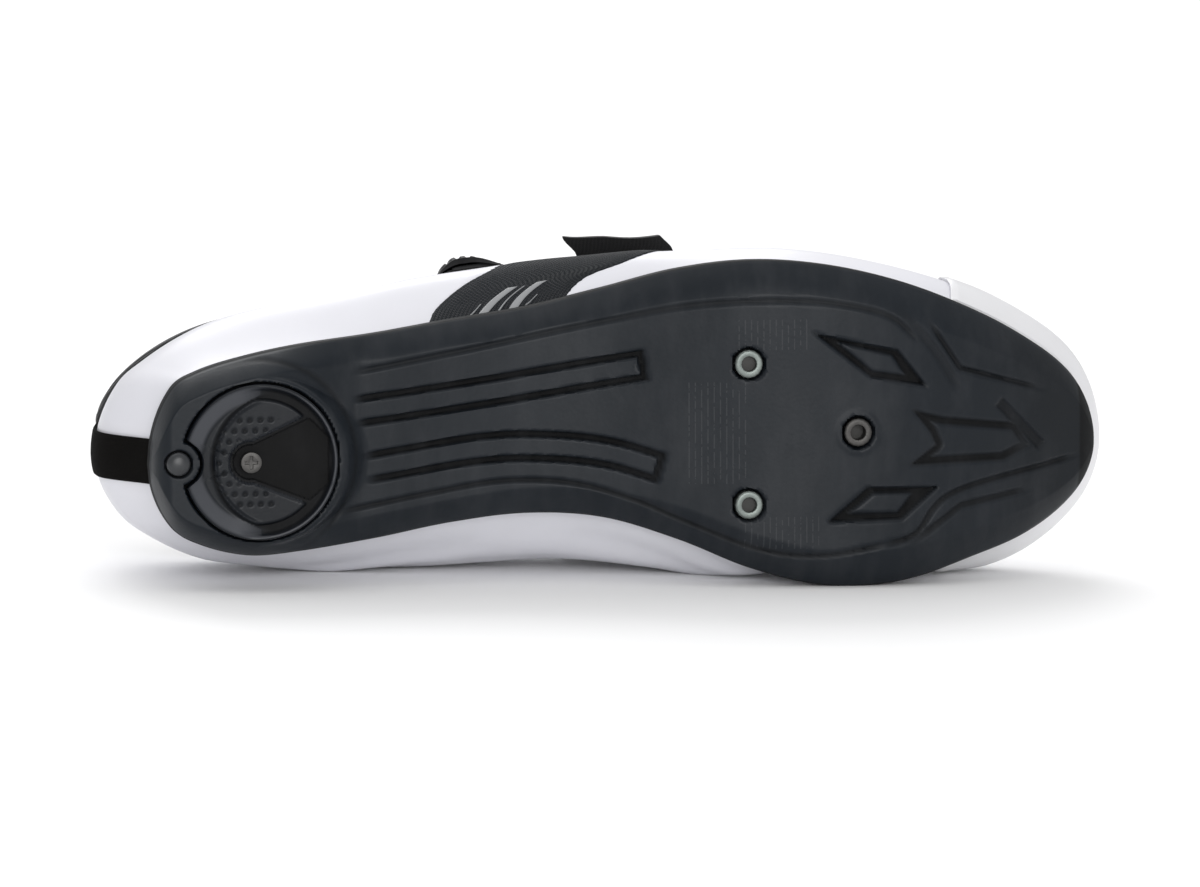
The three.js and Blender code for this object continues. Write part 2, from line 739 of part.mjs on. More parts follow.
// Side and turn for an angle that runs once round the shoe, from the heel along the lateral side.
function sideOf(around) {
  const angle = ((around % (2 * Math.PI)) + 2 * Math.PI) % (2 * Math.PI);
  if (angle <= Math.PI) return { turn: angle, side: "lateral", sign: LATERAL };
  return { turn: 2 * Math.PI - angle, side: "medial", sign: MEDIAL };
}

const aroundOf = (turn, sign) => (sign === LATERAL ? turn : 2 * Math.PI - turn);

function outline(around) {
  const { turn, side } = sideOf(around);
  const x = SOLE_LENGTH * shareOf(turn);
  return new THREE.Vector2(x, soleAt(x)[side]);
}

// Point of the outline moved inwards, at right angles to it.
function insetOutline(around, inset) {
  const step = 0.02;
  const tangent = outline(around + step).sub(outline(around - step)).normalize();
  const inward = new THREE.Vector2(-tangent.y, tangent.x);
  return outline(around).addScaledVector(inward, inset);
}

// Four points up the wall of the upper: feather line, belly, shoulder and edge of the opening.
function guides(around) {
  const { turn, side, sign } = sideOf(around);
  const foot = insetOutline(around, FEATHER_INSET);
  const row = (column, even = true) => read(upperTable, turn, column, even);
  const edge = (column, even = true) => read(openingTable, turn, column, even);
  const soleX = SOLE_LENGTH * shareOf(turn);
  const bellyLength = SOLE_LENGTH + HEEL_OVERHANG + TOE_OVERHANG;
  const feather = vector(foot.x, foot.y, rimAt(foot.x) + GAP);
  const belly = vector(
    -HEEL_OVERHANG + bellyLength * shareOf(turn),
    soleAt(soleX)[side] + sign * row(side, false),
    rimAt(soleX) + BELLY_RISE * row("rise"),
  );
  const rim = vector(edge("x"), sign * edge(side, false), edge("z"));
  const inward = row(side === "lateral" ? "lateralIn" : "medialIn");
  const shoulder = vector(
    mix(belly.x, rim.x, row("along")),
    mix(belly.y, rim.y, inward),
    mix(belly.z, rim.z, row("up")),
  );
  return [feather, belly, shoulder, rim];
}

const wallCurve = (around) => new THREE.CatmullRomCurve3(guides(around), false, "centripetal");

// Outer face of the upper. up runs from 0 at the feather line to 1 at the opening, and a little past it.
function faceAt(around, up) {
  const curve = wallCurve(around);
  if (up <= 1) return curve.getPoint(Math.max(up, 0));
  const slope = curve.getPoint(1).sub(curve.getPoint(0.97)).divideScalar(0.03);
  return curve.getPoint(1).addScaledVector(slope, up - 1);
}

function normalAt(around, up) {
  const step = 0.03;
  const low = Math.max(up - 0.02, 0);
  const alongShoe = faceAt(around + step, up).sub(faceAt(around - step, up));
  const upWall = faceAt(around, up + 0.02).sub(faceAt(around, low));
  return alongShoe.cross(upWall).normalize();
}

const skinAt = (around, up, offset) => faceAt(around, up).addScaledVector(normalAt(around, up), offset);

function upper() {
  const rows = Array.from({ length: AROUND }, (_, i) => {
    const around = (2 * Math.PI * i) / AROUND;
    const steps = Array.from({ length: WALL_STEPS + 1 }, (_, k) => k / WALL_STEPS);
    const outer = steps.map((up) => skinAt(around, up, 0));
    const inner = steps.slice(1).reverse().map((up) => skinAt(around, up, -WALL));
    const seat = [
      [FEATHER_INSET + WALL, WALL],
      [FEATHER_INSET + MARGIN_WIDTH, WALL],
      [FEATHER_INSET + MARGIN_WIDTH, 0],
    ].map(([inset, height]) => {
      const p = insetOutline(around, inset);
      return vector(p.x, p.y, rimAt(p.x) + GAP + height);
    });
    return [...outer, ...inner, ...seat];
  });
  return gridGeometry(rows, true, true);
}

// Skin over a patch of the upper: place(u, v) gives the turn round the shoe and the way up.
function patch(place, low, high, along, across) {
  const face = (offset) =>
    Array.from({ length: along + 1 }, (_, i) =>
      Array.from({ length: across + 1 }, (_, j) => {
        const { around, up } = place(i / along, j / across);
        return skinAt(around, up, offset);
      }),
    );
  return slab(face(high), face(low));
}

// Turn at which the wall passes through x at the given way up.
function turnAt(x, up, sign) {
  let [low, high] = [0, Math.PI];
  for (let k = 0; k < 24; k++) {
    const middle = (low + high) / 2;
    if (faceAt(aroundOf(middle, sign), up).x < x) low = middle;
    else high = middle;
  }
  return (low + high) / 2;
}

function insole() {
  const inset = FEATHER_INSET + WALL + SOFT_GAP;
  const low = GAP + WALL + GAP;
  const rows = Array.from({ length: 25 }, (_, i) => {
    const turn = (Math.PI * i) / 24;
    const lateral = insetOutline(aroundOf(turn, LATERAL), inset);
    const medial = insetOutline(aroundOf(turn, MEDIAL), inset);
    return Array.from({ length: 5 }, (_, j) => lateral.clone().lerp(medial, j / 4));
  });
  const level = (height) => rows.map((row) => row.map((p) => vector(p.x, p.y, rimAt(p.x) + height)));
  return slab(level(low + INSOLE_THICKNESS), level(low));
}

// Sheet of even thickness on one side of a grid of points.
function sheet(rows, thickness) {
  const last = rows.length - 1;
  const end = rows[0].length - 1;
  const other = rows.map((row, i) =>
    row.map((p, j) => {
      const alongShoe = rows[Math.min(i + 1, last)][j].clone().sub(rows[Math.max(i - 1, 0)][j]);
      const over = row[Math.min(j + 1, end)].clone().sub(row[Math.max(j - 1, 0)]);
      return p.clone().addScaledVector(alongShoe.cross(over).normalize(), thickness);
    }),
  );
  return slab(rows, other);
}

// Curve across the throat just inside the wall, from the lateral to the medial side.
function throatCurve(turn, sideUp, edgeUp, depth, crown, centre) {
  const ways = [0, 1 / 3, 2 / 3, 1].map((share) => mix(sideUp, edgeUp, share));
  const lateral = ways.map((up) => skinAt(aroundOf(turn, LATERAL), up, -depth));
  const medial = ways.reverse().map((up) => skinAt(aroundOf(turn, MEDIAL), up, -depth));
  const middle = centre ?? lateral[3].clone().lerp(medial[0], 0.5).addScaledVector(UP, crown * THROAT_WIDTH);
  return new THREE.CatmullRomCurve3([...lateral, middle, ...medial], false, "centripetal");
}

function tongue() {
  const depth = WALL + 2 * SOFT_GAP;
  const turns = TONGUE_TURNS.map(radians);
  const curves = turns.map((turn, i) => {
    const crown = mix(TONGUE_CROWN_SHARE, -TONGUE_CROWN_SHARE, (i / (turns.length - 1)) ** 2);
    return throatCurve(turn, Math.max(0.975 - 0.035 * i, 0.84), 1 - TONGUE_TUCK_SHARE, depth, crown);
  });
  const end = skinAt(Math.PI, 0.9, -depth);
  curves.push(throatCurve(radians(168), 0.8, 0.88, depth, 0, end));
  const across = 14;
  const shares = Array.from({ length: across + 1 }, (_, j) => j / across);
  const rows = curves.map((curve) => shares.map((share) => curve.getPoint(share)));
  const first = rows[0];
  const middle = first[across / 2];
  for (const share of [0.35, 0.7, 1]) {
    const lift = vector(-0.8 * TONGUE_RISE * share, 0, TONGUE_RISE * share * (1.1 - 0.1 * share));
    const narrow = 1 - 0.3 * share * (1.4 - 0.4 * share);
    rows.unshift(
      first.map((p) => {
        const moved = p.clone().add(lift);
        moved.y = middle.y + (p.y - middle.y) * narrow;
        return moved;
      }),
    );
  }
  return sheet(rows, -TONGUE_THICKNESS);
}

function collarPadding() {
  const reach = radians(PADDING_REACH);
  const low = PADDING_LOW_SHARE;
  const rows = Array.from({ length: 29 }, (_, i) => {
    const around = mix(-reach, reach, i / 28);
    const rimPoint = skinAt(around, 1, -(WALL + SOFT_GAP));
    const rimSlope = skinAt(around, 1.02, -(WALL + SOFT_GAP)).sub(rimPoint).normalize();
    const inward = normalAt(around, 1).negate();
    const back = [low, 0.86, 0.97].map((up) => skinAt(around, up, -(WALL + SOFT_GAP)));
    const roll = [0.15, 0.5, 0.85].map((share) => {
      const crown = PADDING_PROUD * Math.sin(Math.PI * share);
      const across = rimPoint.clone().addScaledVector(inward, PADDING_THICKNESS * share);
      return across.addScaledVector(rimSlope, crown);
    });
    const front = [
      { up: 0.97, full: 1 },
      { up: 0.86, full: 1 },
      { up: low, full: 0.35 },
    ].map(({ up, full }) => skinAt(around, up, -(WALL + SOFT_GAP + PADDING_THICKNESS * full)));
    return [...back, ...roll, ...front];
  });
  const body = gridGeometry(rows, true, false);
  const index = [...body.index.array];
  const columns = rows[0].length;
  for (const [base, turned] of [[0, true], [(rows.length - 1) * columns, false]]) {
    for (let j = 1; j < columns - 1; j++) {
      index.push(...(turned ? [base + j + 1, base + j, base] : [base, base + j, base + j + 1]));
    }
  }
  body.setIndex(index);
  return body;
}

// Way up the wall at which it passes through x, above the belly.
function upAt(around, x, lowest) {
  let [low, high] = [lowest, 1];
  for (let k = 0; k < 24; k++) {
    const middle = (low + high) / 2;
    if (faceAt(around, middle).x > x) low = middle;
    else high = middle;
  }
  return high;
}

// Overlay on the toe: its back edge crosses the shoe TOE_CAP_REACH behind the tip of the sole.
function toeCap() {
  const lowest = 0.1;
  const backEdge = SOLE_LENGTH - TOE_CAP_REACH;
  const start = turnAt(backEdge, lowest, LATERAL);
  const end = 2 * Math.PI - turnAt(backEdge, lowest, MEDIAL);
  return patch(
    (u, v) => {
      const around = mix(start, end, u);
      return { around, up: mix(lowest, upAt(around, backEdge, lowest), v) };
    },
    SOFT_GAP,
    SOFT_GAP + OVERLAY_THICKNESS,
    24,
    7,
  );
}

// Strip up the back of the heel, of even width.
function heelStrip() {
  const probe = 0.1;
  return patch(
    (u, v) => {
      const up = mix(0.03, 0.96, v);
      const perTurn = faceAt(probe, up).distanceTo(faceAt(0, up)) / probe;
      return { around: ((u - 0.5) * HEEL_STRIP_WIDTH) / perTurn, up };
    },
    GAP,
    GAP + OVERLAY_THICKNESS,
    4,
    12,
  );
}

// Mesh set in the lateral side, or with grow the pocket that takes it.
function meshPatch(low, high, grow) {
  const first = MESH_EDGES[0].place;
  const last = MESH_EDGES[MESH_EDGES.length - 1].place;
  const spare = grow / SOLE_LENGTH;
  return patch(
    (u, v) => {
      const up = mix(first - spare, last + spare, v);
      const place = clamp(up, first, last);
      const back = read(MESH_EDGES, place, "back", false) - spare;
      const front = read(MESH_EDGES, place, "front", false) + spare;
      return { around: turnAt(mix(back, front, u) * SOLE_LENGTH, up, LATERAL), up };
    },
    low,
    high,
    8,
    12,
  );
}

// Places up the wall at which straps and the buckle have their points.
const WALL_SHARES = [0, 0.2, 0.4, 0.6, 0.8, 1];

// Points of a strap's inner face at x: up the medial side, over the tongue and down the lateral side.
function strapPath(x, medialEnd, lateralEnd, height) {
  const onWall = (up, sign) => skinAt(aroundOf(turnAt(x, up, sign), sign), up, height);
  const medial = WALL_SHARES.map((share) => onWall(mix(medialEnd, 1, share), MEDIAL));
  const lateral = WALL_SHARES.map((share) => onWall(mix(1, lateralEnd, share), LATERAL));
  const over = [0.25, 0.5, 0.75].map((share) => {
    const crown = STRAP_CROWN * Math.sin(Math.PI * share);
    return medial.at(-1).clone().lerp(lateral[0], share).addScaledVector(UP, crown);
  });
  return [...medial, ...over, ...lateral];
}

function strapRows(at, width, rowAt) {
  return Array.from({ length: 6 }, (_, i) => rowAt(at + width * (i / 5 - 0.5)));
}

// Hook-and-loop strap over the forefoot, whose free end stands off the lateral side.
function forefootStrap() {
  const rows = strapRows(FOREFOOT_STRAP_AT, FOREFOOT_STRAP_WIDTH, (x) => {
    const path = strapPath(x, 0.66, 0.74, SOFT_GAP);
    const last = path[path.length - 1];
    const slope = last.clone().sub(path[path.length - 2]).normalize();
    const away = vector(0, LATERAL, 0).addScaledVector(slope, slope.y).normalize();
    const free = [0.35, 0.7, 1].map((share) => {
      const along = last.clone().addScaledVector(slope, STRAP_END_LENGTH * share);
      return along.addScaledVector(away, STRAP_END_LIFT * share * share);
    });
    return [...path, ...free];
  });
  return sheet(rows, -STRAP_THICKNESS);
}

const toothedLow = GAP + BUCKLE_BASE + GAP;

function instepStrap() {
  const rows = strapRows(INSTEP_STRAP_AT, INSTEP_STRAP_WIDTH, (x) => strapPath(x, 0.86, 0.6, toothedLow));
  return sheet(rows, -TOOTHED_THICKNESS);
}

// Patch of the buckle, on the lateral wall under or over the toothed strap.
function bucklePatch(low, high, ends, steps) {
  const face = (offset) =>
    Array.from({ length: steps + 1 }, (_, i) => {
      const share = i / steps;
      const x = INSTEP_STRAP_AT + BUCKLE_WIDTH * (share - 0.5);
      return WALL_SHARES.map((v) => {
        const up = mix(ends[0], ends[1], v);
        return skinAt(turnAt(x, up, LATERAL), up, offset(share, v));
      });
    });
  return slab(face(high), face(low));
}

const buckleBase = () => bucklePatch(() => GAP, () => GAP + BUCKLE_BASE, [0.6, 0.83], 6);

// Lever with a low hump and ribs across it.
function buckleLever() {
  const low = toothedLow + TOOTHED_THICKNESS + GAP;
  const steps = 4 * LEVER_RIBS;
  const high = (share, v) => {
    const hump = Math.sqrt(Math.sin(Math.PI * mix(0.1, 0.9, share))) * Math.sin(Math.PI * mix(0.25, 0.75, v));
    const rib = Math.round(share * steps) % 4 < 2 ? RIB_HEIGHT : 0;
    return low + LEVER_HEIGHT * hump + rib;
  };
  return bucklePatch(() => low, high, [0.63, 0.8], steps);
}

const nodes = [];

function add(name, geometry, colour, roughness, metalness = 0) {
  const finish = new THREE.MeshStandardMaterial({ color: colour, roughness, metalness });
  const mesh = new THREE.Mesh(outward(geometry), finish);
  mesh.name = name;
  nodes.push(mesh);
}

const BLACK = 0x17181a;
const CHARCOAL = 0x24272a;
const WHITE = 0xeef0f2;

add("outsole", outsole(), CHARCOAL, 0.5);
add("heel_pad", heelPad(), BLACK, 0.6);
add("heel_pad_screw", heelScrew(), 0x4a4d50, 0.4, 0.9);
add("heel_rivet", heelRivet(), CHARCOAL, 0.4);
for (const [name, [x, y]] of Object.entries(insertPlaces)) add(name, cleatInsert(x, y), 0xb9bdbd, 0.35, 0.9);
add("upper", cut(upper(), [meshPatch(-MESH_DEPTH - GAP, POCKET_ROOM, GAP)]), WHITE, 0.45);
add("mesh_insert", meshPatch(-MESH_DEPTH, 0, 0), BLACK, 0.8);
add("toe_cap", toeCap(), WHITE, 0.4);
add("heel_strip", heelStrip(), BLACK, 0.6);
add("forefoot_strap", forefootStrap(), BLACK, 0.8);
add("instep_strap", instepStrap(), BLACK, 0.6);
add("buckle_base", buckleBase(), BLACK, 0.5);
add("buckle_lever", buckleLever(), BLACK, 0.5);
add("insole", insole(), BLACK, 0.9);
add("tongue", tongue(), BLACK, 0.9);
add("collar_padding", collarPadding(), BLACK, 0.9);

// The shoe lies on its inner side: on the face of its convex hull that its centre of mass bears on.
function restingTurn(meshes) {
  const masses = meshes.map((mesh) => massOf(mesh.geometry));
  const volume = masses.reduce((sum, mass) => sum + mass.volume, 0);
  const moment = masses.reduce((sum, mass) => sum.add(mass.moment), vector());
  const centre = moment.divideScalar(volume);
  const points = meshes.flatMap((mesh) => {
    const position = mesh.geometry.getAttribute("position");
    return Array.from({ length: position.count }, (_, i) => vector().fromBufferAttribute(position, i));
  });
  const faces = new ConvexHull().setFromPoints(points).faces;
  const bearing = faces.filter((face) => {
    const foot = centre.clone().addScaledVector(face.normal, face.constant - face.normal.dot(centre));
    let edge = face.edge;
    do {
      const tail = edge.tail().point;
      const side = edge.head().point.clone().sub(tail);
      if (side.cross(foot.clone().sub(tail)).dot(face.normal) < 0) return false;
      edge = edge.next;
    } while (edge !== face.edge);
    return true;
  });
  const bears = bearing.reduce((best, face) => (face.normal.y > best.normal.y ? face : best));
  return bears.normal.clone();
}

// Down is the resting face's normal, and the heel-to-toe line lies along X.
const down = restingTurn(nodes);
const zAxis = down.clone().negate();
const xAxis = vector(1, 0, 0).addScaledVector(zAxis, -zAxis.x).normalize();
const yAxis = zAxis.clone().cross(xAxis);
const lay = new THREE.Matrix4().makeBasis(xAxis, yAxis, zAxis).transpose();

const lying = new THREE.Group();
lying.applyMatrix4(lay);
lying.add(...nodes);

const shoe = new THREE.Group();
shoe.add(lying);
shoe.updateMatrixWorld(true);
const box = new THREE.Box3().setFromObject(shoe, true);
lying.position.set(-(box.min.x + box.max.x) / 2, -(box.min.y + box.max.y) / 2, -box.min.z);

export default shoe;
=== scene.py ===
"""Studio view of a right road cycling shoe that lies on its inner side, sole towards the camera.

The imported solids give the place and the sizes. Each of them is dressed here: the sole with its
moulded relief, the stretched white upper with creases and seams, mesh, straps, buckle and lining.
Shoe frame: x from heel to toe, y to the inner side of the foot, z up from the ball, in millimetres.
"""

import json
import logging
import math
from dataclasses import dataclass, field
from enum import Enum
from typing import Callable, Optional, Sequence

import bmesh
import bpy
import numpy as np
from mathutils import Matrix, Vector


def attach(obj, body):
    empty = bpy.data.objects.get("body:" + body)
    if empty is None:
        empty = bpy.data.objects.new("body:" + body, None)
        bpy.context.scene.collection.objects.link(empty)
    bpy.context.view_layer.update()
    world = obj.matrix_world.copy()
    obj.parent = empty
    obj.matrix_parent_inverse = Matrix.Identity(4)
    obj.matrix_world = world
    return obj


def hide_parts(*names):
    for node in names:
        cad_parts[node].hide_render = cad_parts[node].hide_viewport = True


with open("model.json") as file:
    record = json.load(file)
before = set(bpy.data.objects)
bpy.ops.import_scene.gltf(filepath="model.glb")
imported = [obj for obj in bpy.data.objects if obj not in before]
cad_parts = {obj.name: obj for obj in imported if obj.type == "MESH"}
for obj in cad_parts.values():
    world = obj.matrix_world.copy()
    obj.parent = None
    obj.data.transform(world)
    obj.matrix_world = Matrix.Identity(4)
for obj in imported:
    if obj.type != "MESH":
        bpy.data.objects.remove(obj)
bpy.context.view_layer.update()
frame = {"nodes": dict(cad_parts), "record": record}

logger = logging.getLogger("cycling_shoe")

MM = 0.001
LATERAL = -1
MEDIAL = 1
Array = np.ndarray
Obj = bpy.types.Object
Tree = bpy.types.NodeTree
Socket = bpy.types.NodeSocket
Material = bpy.types.Material
Surface = Callable[[Array, Array], Array]
Place = Callable[[Array, Array], tuple[Array, Array]]


class Slot(Enum):
    """Material slots of the record."""

    SOLE = "sole_composite"
    PAD = "pad_rubber"
    STEEL = "screw_steel"
    ZINC = "insert_zinc"
    WHITE = "upper_white"
    MESH = "mesh_black"
    STRAP = "strap_black"
    BUCKLE = "buckle_black"
    LINING = "lining_black"


# Sizes and tables that the solids share, in millimetres.

SOLE_LENGTH = 271.0
HEEL_WIDTH = 56.0
WAIST_WIDTH = 57.0
BALL_WIDTH = 89.0
HEEL_LIFT = 8.0
ARCH_LIFT = 11.5
TOE_SPRING = 25.0
PAD_AT = 29.5
PAD_RADIUS = 21.5
RIVET_AT = 6.8
RIVET_BITE = 6.6

# share of length, reference width, lateral, medial, reference height, lift, side rise, band
SOLE_STATIONS = (
    (0, HEEL_WIDTH, -0.02, 0.02, HEEL_LIFT, 1, 0.2, 0.55),
    (0.023, HEEL_WIDTH, 0.352, 0.334, HEEL_LIFT, 1, 0.1, 0.55),
    (0.049, HEEL_WIDTH, 0.434, 0.414, HEEL_LIFT, 1, 0, 0.55),
    (0.101, HEEL_WIDTH, 0.507, 0.477, HEEL_LIFT, 1, 0, 0.55),
    (0.154, HEEL_WIDTH, 0.552, 0.466, HEEL_LIFT, 1.05, 0.2, 0.6),
    (0.236, WAIST_WIDTH, 0.582, 0.412, ARCH_LIFT, 0.8, 0.8, 0.7),
    (0.316, WAIST_WIDTH, 0.635, 0.351, ARCH_LIFT, 0.96, 0.95, 0.7),
    (0.395, WAIST_WIDTH, 0.688, 0.318, ARCH_LIFT, 1, 1, 0.75),
    (0.472, WAIST_WIDTH, 0.774, 0.344, ARCH_LIFT, 0.82, 1, 0.8),
    (0.546, BALL_WIDTH, 0.555, 0.289, ARCH_LIFT, 0.45, 1, 0.95),
    (0.621, BALL_WIDTH, 0.582, 0.383, ARCH_LIFT, 0.12, 1, 1),
    (0.698, BALL_WIDTH, 0.563, 0.44, TOE_SPRING, 0, 1, 1),
    (0.7775, BALL_WIDTH, 0.504, 0.434, TOE_SPRING, 0.05, 1, 1),
    (0.86, BALL_WIDTH, 0.403, 0.369, TOE_SPRING, 0.28, 1, 0.9),
    (0.916, BALL_WIDTH, 0.311, 0.3135, TOE_SPRING, 0.51, 0.9, 0.8),
    (0.974, BALL_WIDTH, 0.172, 0.202, TOE_SPRING, 0.82, 0.7, 0.6),
    (1, BALL_WIDTH, -0.037, 0.037, TOE_SPRING, 1, 0.6, 0.5),
)

# turn in degrees, lateral and medial overhang, rise, along, lateral in, medial in, up
UPPER_SECTIONS = (
    (0, 0, 0, 1, 0.25, 0.3, 0.3, 0.52),
    (20, -0.05, -0.05, 1, 0.3, 0.25, 0.2, 0.52),
    (40, 0.38, 0.31, 1.05, 0.5, 0.3, 0.16, 0.52),
    (60, 0.61, 0.81, 0.9, 0.45, 0.42, 0.25, 0.5),
    (80, 0.55, 1, 0.7, 0.4, 0.3, 0.08, 0.58),
    (100, 0.15, 0.45, 0.62, 0.33, 0.36, 0.2, 0.5),
    (110, 0.14, -0.05, 0.62, 0.35, 0.32, 0.23, 0.51),
    (120, 0.17, -0.07, 0.65, 0.36, 0.28, 0.26, 0.52),
    (130, 0.26, 0.13, 0.63, 0.35, 0.31, 0.3, 0.54),
    (140, 0.32, 0.38, 0.6, 0.34, 0.34, 0.34, 0.55),
    (160, 0.27, 0.25, 0.4, 0.22, 0.36, 0.36, 0.6),
    (180, 0, 0, 0.3, 0.15, 0.2, 0.2, 0.62),
)

COLLAR_WIDTH = 65.0
THROAT_WIDTH = 33.0
HEEL_HEIGHT = 70.0
INSTEP_HEIGHT = 82.0
VAMP_HEIGHT = 58.0

# turn in degrees, share of length, reference width, lateral, medial, reference height, top
OPENING_EDGE = (
    (0, 0, COLLAR_WIDTH, 0, 0, HEEL_HEIGHT, 1),
    (20, 0.03, COLLAR_WIDTH, 0.21, 0.21, HEEL_HEIGHT, 0.98),
    (40, 0.117, COLLAR_WIDTH, 0.395, 0.39, HEEL_HEIGHT, 0.9),
    (60, 0.25, COLLAR_WIDTH, 0.49, 0.52, HEEL_HEIGHT, 0.83),
    (80, 0.413, COLLAR_WIDTH, 0.45, 0.5, INSTEP_HEIGHT, 0.88),
    (100, 0.577, THROAT_WIDTH, 0.54, 0.5, INSTEP_HEIGHT, 1),
    (120, 0.75, THROAT_WIDTH, 0.48, 0.43, INSTEP_HEIGHT, 0.9),
    (140, 0.883, THROAT_WIDTH, 0.42, 0.38, VAMP_HEIGHT, 1.135),
    (160, 0.97, THROAT_WIDTH, 0.28, 0.25, VAMP_HEIGHT, 1.04),
    (180, 1, THROAT_WIDTH, 0, 0, VAMP_HEIGHT, 1),
)

# way up the wall, back and front edge of the side mesh as shares of length
MESH_EDGES = (
    ((0.0, 0.293, 0.436), (0.085, 0.303, 0.449), (0.155, 0.32, 0.47), (0.21, 0.335, 0.503))
    + ((0.33, 0.367, 0.535), (0.5, 0.388, 0.563), (0.7, 0.402, 0.591), (0.9, 0.407, 0.613))
)


def stack(*parts: Array) -> Array:
    """Points from their coordinates."""
    return np.stack(parts, axis=-1)


def smooth(low: float, high: float, value: Array) -> Array:
    """Eased step from 0 at low to 1 at high."""
    share = np.clip((value - low) / (high - low), 0, 1)
    return share * share * (3 - 2 * share)


def mix(a: Array, b: Array, share: Array) -> Array:
    """Value between a and b."""
    return a + (b - a) * share


@dataclass(frozen=True)
class Table:
    """Named columns that are read on a smooth curve through their rows."""

    places: Array
    columns: dict[str, Array]

    def read(self, place: Array, column: str, even: bool) -> Array:
        """Reads a column.

        Args:
            place: places to read at.
            column: name of the column.
            even: whether the curve is level at both ends.

        Returns:
            The values of the column there.
        """
        at, values = self.places, self.columns[column]
        last = len(at) - 1
        ahead = np.minimum(np.arange(last + 1) + 1, last)
        behind = np.maximum(np.arange(last + 1) - 1, 0)
        slopes = (values[ahead] - values[behind]) / (at[ahead] - at[behind])
        if even:
            slopes[0] = slopes[last] = 0
        i = np.clip(np.searchsorted(at, place, side="left") - 1, 0, last - 1)
        span = at[i + 1] - at[i]
        t = (place - at[i]) / span
        u = 1 - t
        ends = u * u * (1 + 2 * t) * values[i] + t * t * (1 + 2 * u) * values[i + 1]
        return ends + t * u * u * span * slopes[i] - t * t * u * span * slopes[i + 1]


def mesh_span(up: Array) -> tuple[Array, Array]:
    """Back and front edge of the side mesh at a way up the wall, in millimetres."""
    places, back, front = np.array(MESH_EDGES, dtype=float).T
    table = Table(places, {"back": back * SOLE_LENGTH, "front": front * SOLE_LENGTH})
    held = np.clip(up, places[0], places[-1])
    return table.read(held, "back", False), table.read(held, "front", False)


def turn_of(share: Array) -> Array:
    """Turn round the shoe at a share of its length."""
    return np.arccos(np.clip(1 - 2 * share, -1, 1))


def folded(around: Array) -> tuple[Array, Array]:
    """Turn from the heel on either side, and whether a place is on the lateral side."""
    angle = np.mod(around, 2 * math.pi)
    outer = angle <= math.pi
    return np.where(outer, angle, 2 * math.pi - angle), outer


def share_of(turn: Array) -> Array:
    """Share of the length at a turn round the shoe."""
    return (1 - np.cos(turn)) / 2


@dataclass(frozen=True)
class Section:
    """Cross-section of the sole at given places along it."""

    lateral: Array
    medial: Array
    plate: Array
    edge: Array
    band: Array
    rim: Array


@dataclass
class SoleForm:
    """Outline and heights of the sole."""

    side_rise: float = 5.0
    side_band: float = 10.0
    edge_thickness: float = 3.5
    dish_depth: float = 3.0
    rim_width: float = 11.0
    pad_at: float = PAD_AT
    nose_top: float = 23.0
    nose_foot: float = 26.2
    nose_reach: float = 5.4
    side_start: float = 27.0
    side_end: float = 60.0
    table: Table = field(init=False)

    def __post_init__(self) -> None:
        """Scales the table of stations."""
        rows = np.array(SOLE_STATIONS, dtype=float).T
        at, width, lateral, medial, height, lift, side, band = rows
        self.table = Table(
            turn_of(at),
            {
                "lateral": lateral * width,
                "medial": medial * width,
                "plate": lift * height,
                "edge": lift * height + side * self.side_rise,
                "band": band * self.side_band,
            },
        )

    def section(self, x: Array) -> Section:
        """Reads the section at x."""
        turn = turn_of(x / SOLE_LENGTH)
        edge = self.table.read(turn, "edge", True)
        return Section(
            -self.table.read(turn, "lateral", False),
            self.table.read(turn, "medial", False),
            self.table.read(turn, "plate", True),
            edge,
            self.table.read(turn, "band", True),
            edge + self.edge_thickness,
        )

    def flat(self, x: Array) -> Array:
        """Height of the flat bottom at x, without the heel block."""
        s = self.section(x)
        end = np.clip(np.minimum(x, SOLE_LENGTH - x) / s.band, 0, 1)
        return mix(s.edge, s.plate, np.sqrt(end * (2 - end)))

    def block(self, x: Array, y: Array) -> Array:
        """Share of the heel block: a nose round the pad in front, running out along both sides."""
        ahead = x - self.pad_at
        out = np.hypot(ahead, y)
        facing = np.clip(ahead / np.maximum(out, 0.1), 0, 1)
        nose = smooth(self.nose_foot + self.nose_reach * facing**4, self.nose_top, out)
        sides = smooth(self.side_end, self.side_start, x)
        end = np.clip(x / self.section(x).band, 0, 1)
        return np.where(ahead > 0, np.maximum(nose, sides), 1.0) * np.sqrt(end * (2 - end))

    def band(self, s: Section) -> Array:
        """Width of the sloped side bands in a section."""
        return np.minimum(s.band, 0.3 * np.maximum(s.medial - s.lateral, 0.3))

    def bottom(self, x: Array, y: Array) -> Array:
        """Height of the underside at a point."""
        s = self.section(x)
        inward = np.minimum(y - s.lateral, s.medial - y)
        share = np.clip(1 - inward / self.band(s), 0, 1)
        low = self.flat(x) - HEEL_LIFT * self.block(x, y)
        return mix(low, s.edge, share * share * 0.5 + share * 0.5)

    def top(self, x: Array, y: Array) -> Array:
        """Height of the dished upper side at a point."""
        s = self.section(x)
        inward = np.minimum(np.minimum(y - s.lateral, s.medial - y), np.minimum(x, SOLE_LENGTH - x))
        return s.rim - self.dish_depth * np.clip((inward - self.rim_width) / self.rim_width, 0, 1)

    def outline(self, around: Array) -> Array:
        """Points of the outline by the turn round the shoe."""
        turn, outer = folded(around)
        x = SOLE_LENGTH * share_of(turn)
        s = self.section(x)
        return stack(x, np.where(outer, s.lateral, s.medial))

    def inset(self, around: Array, inset: Array) -> Array:
        """Points of the outline moved inwards."""
        step = 0.02
        tangent = self.outline(around + step) - self.outline(around - step)
        tangent /= np.linalg.norm(tangent, axis=-1, keepdims=True)
        inward = stack(-tangent[..., 1], tangent[..., 0])
        return self.outline(around) + inward * np.asarray(inset)[..., None]


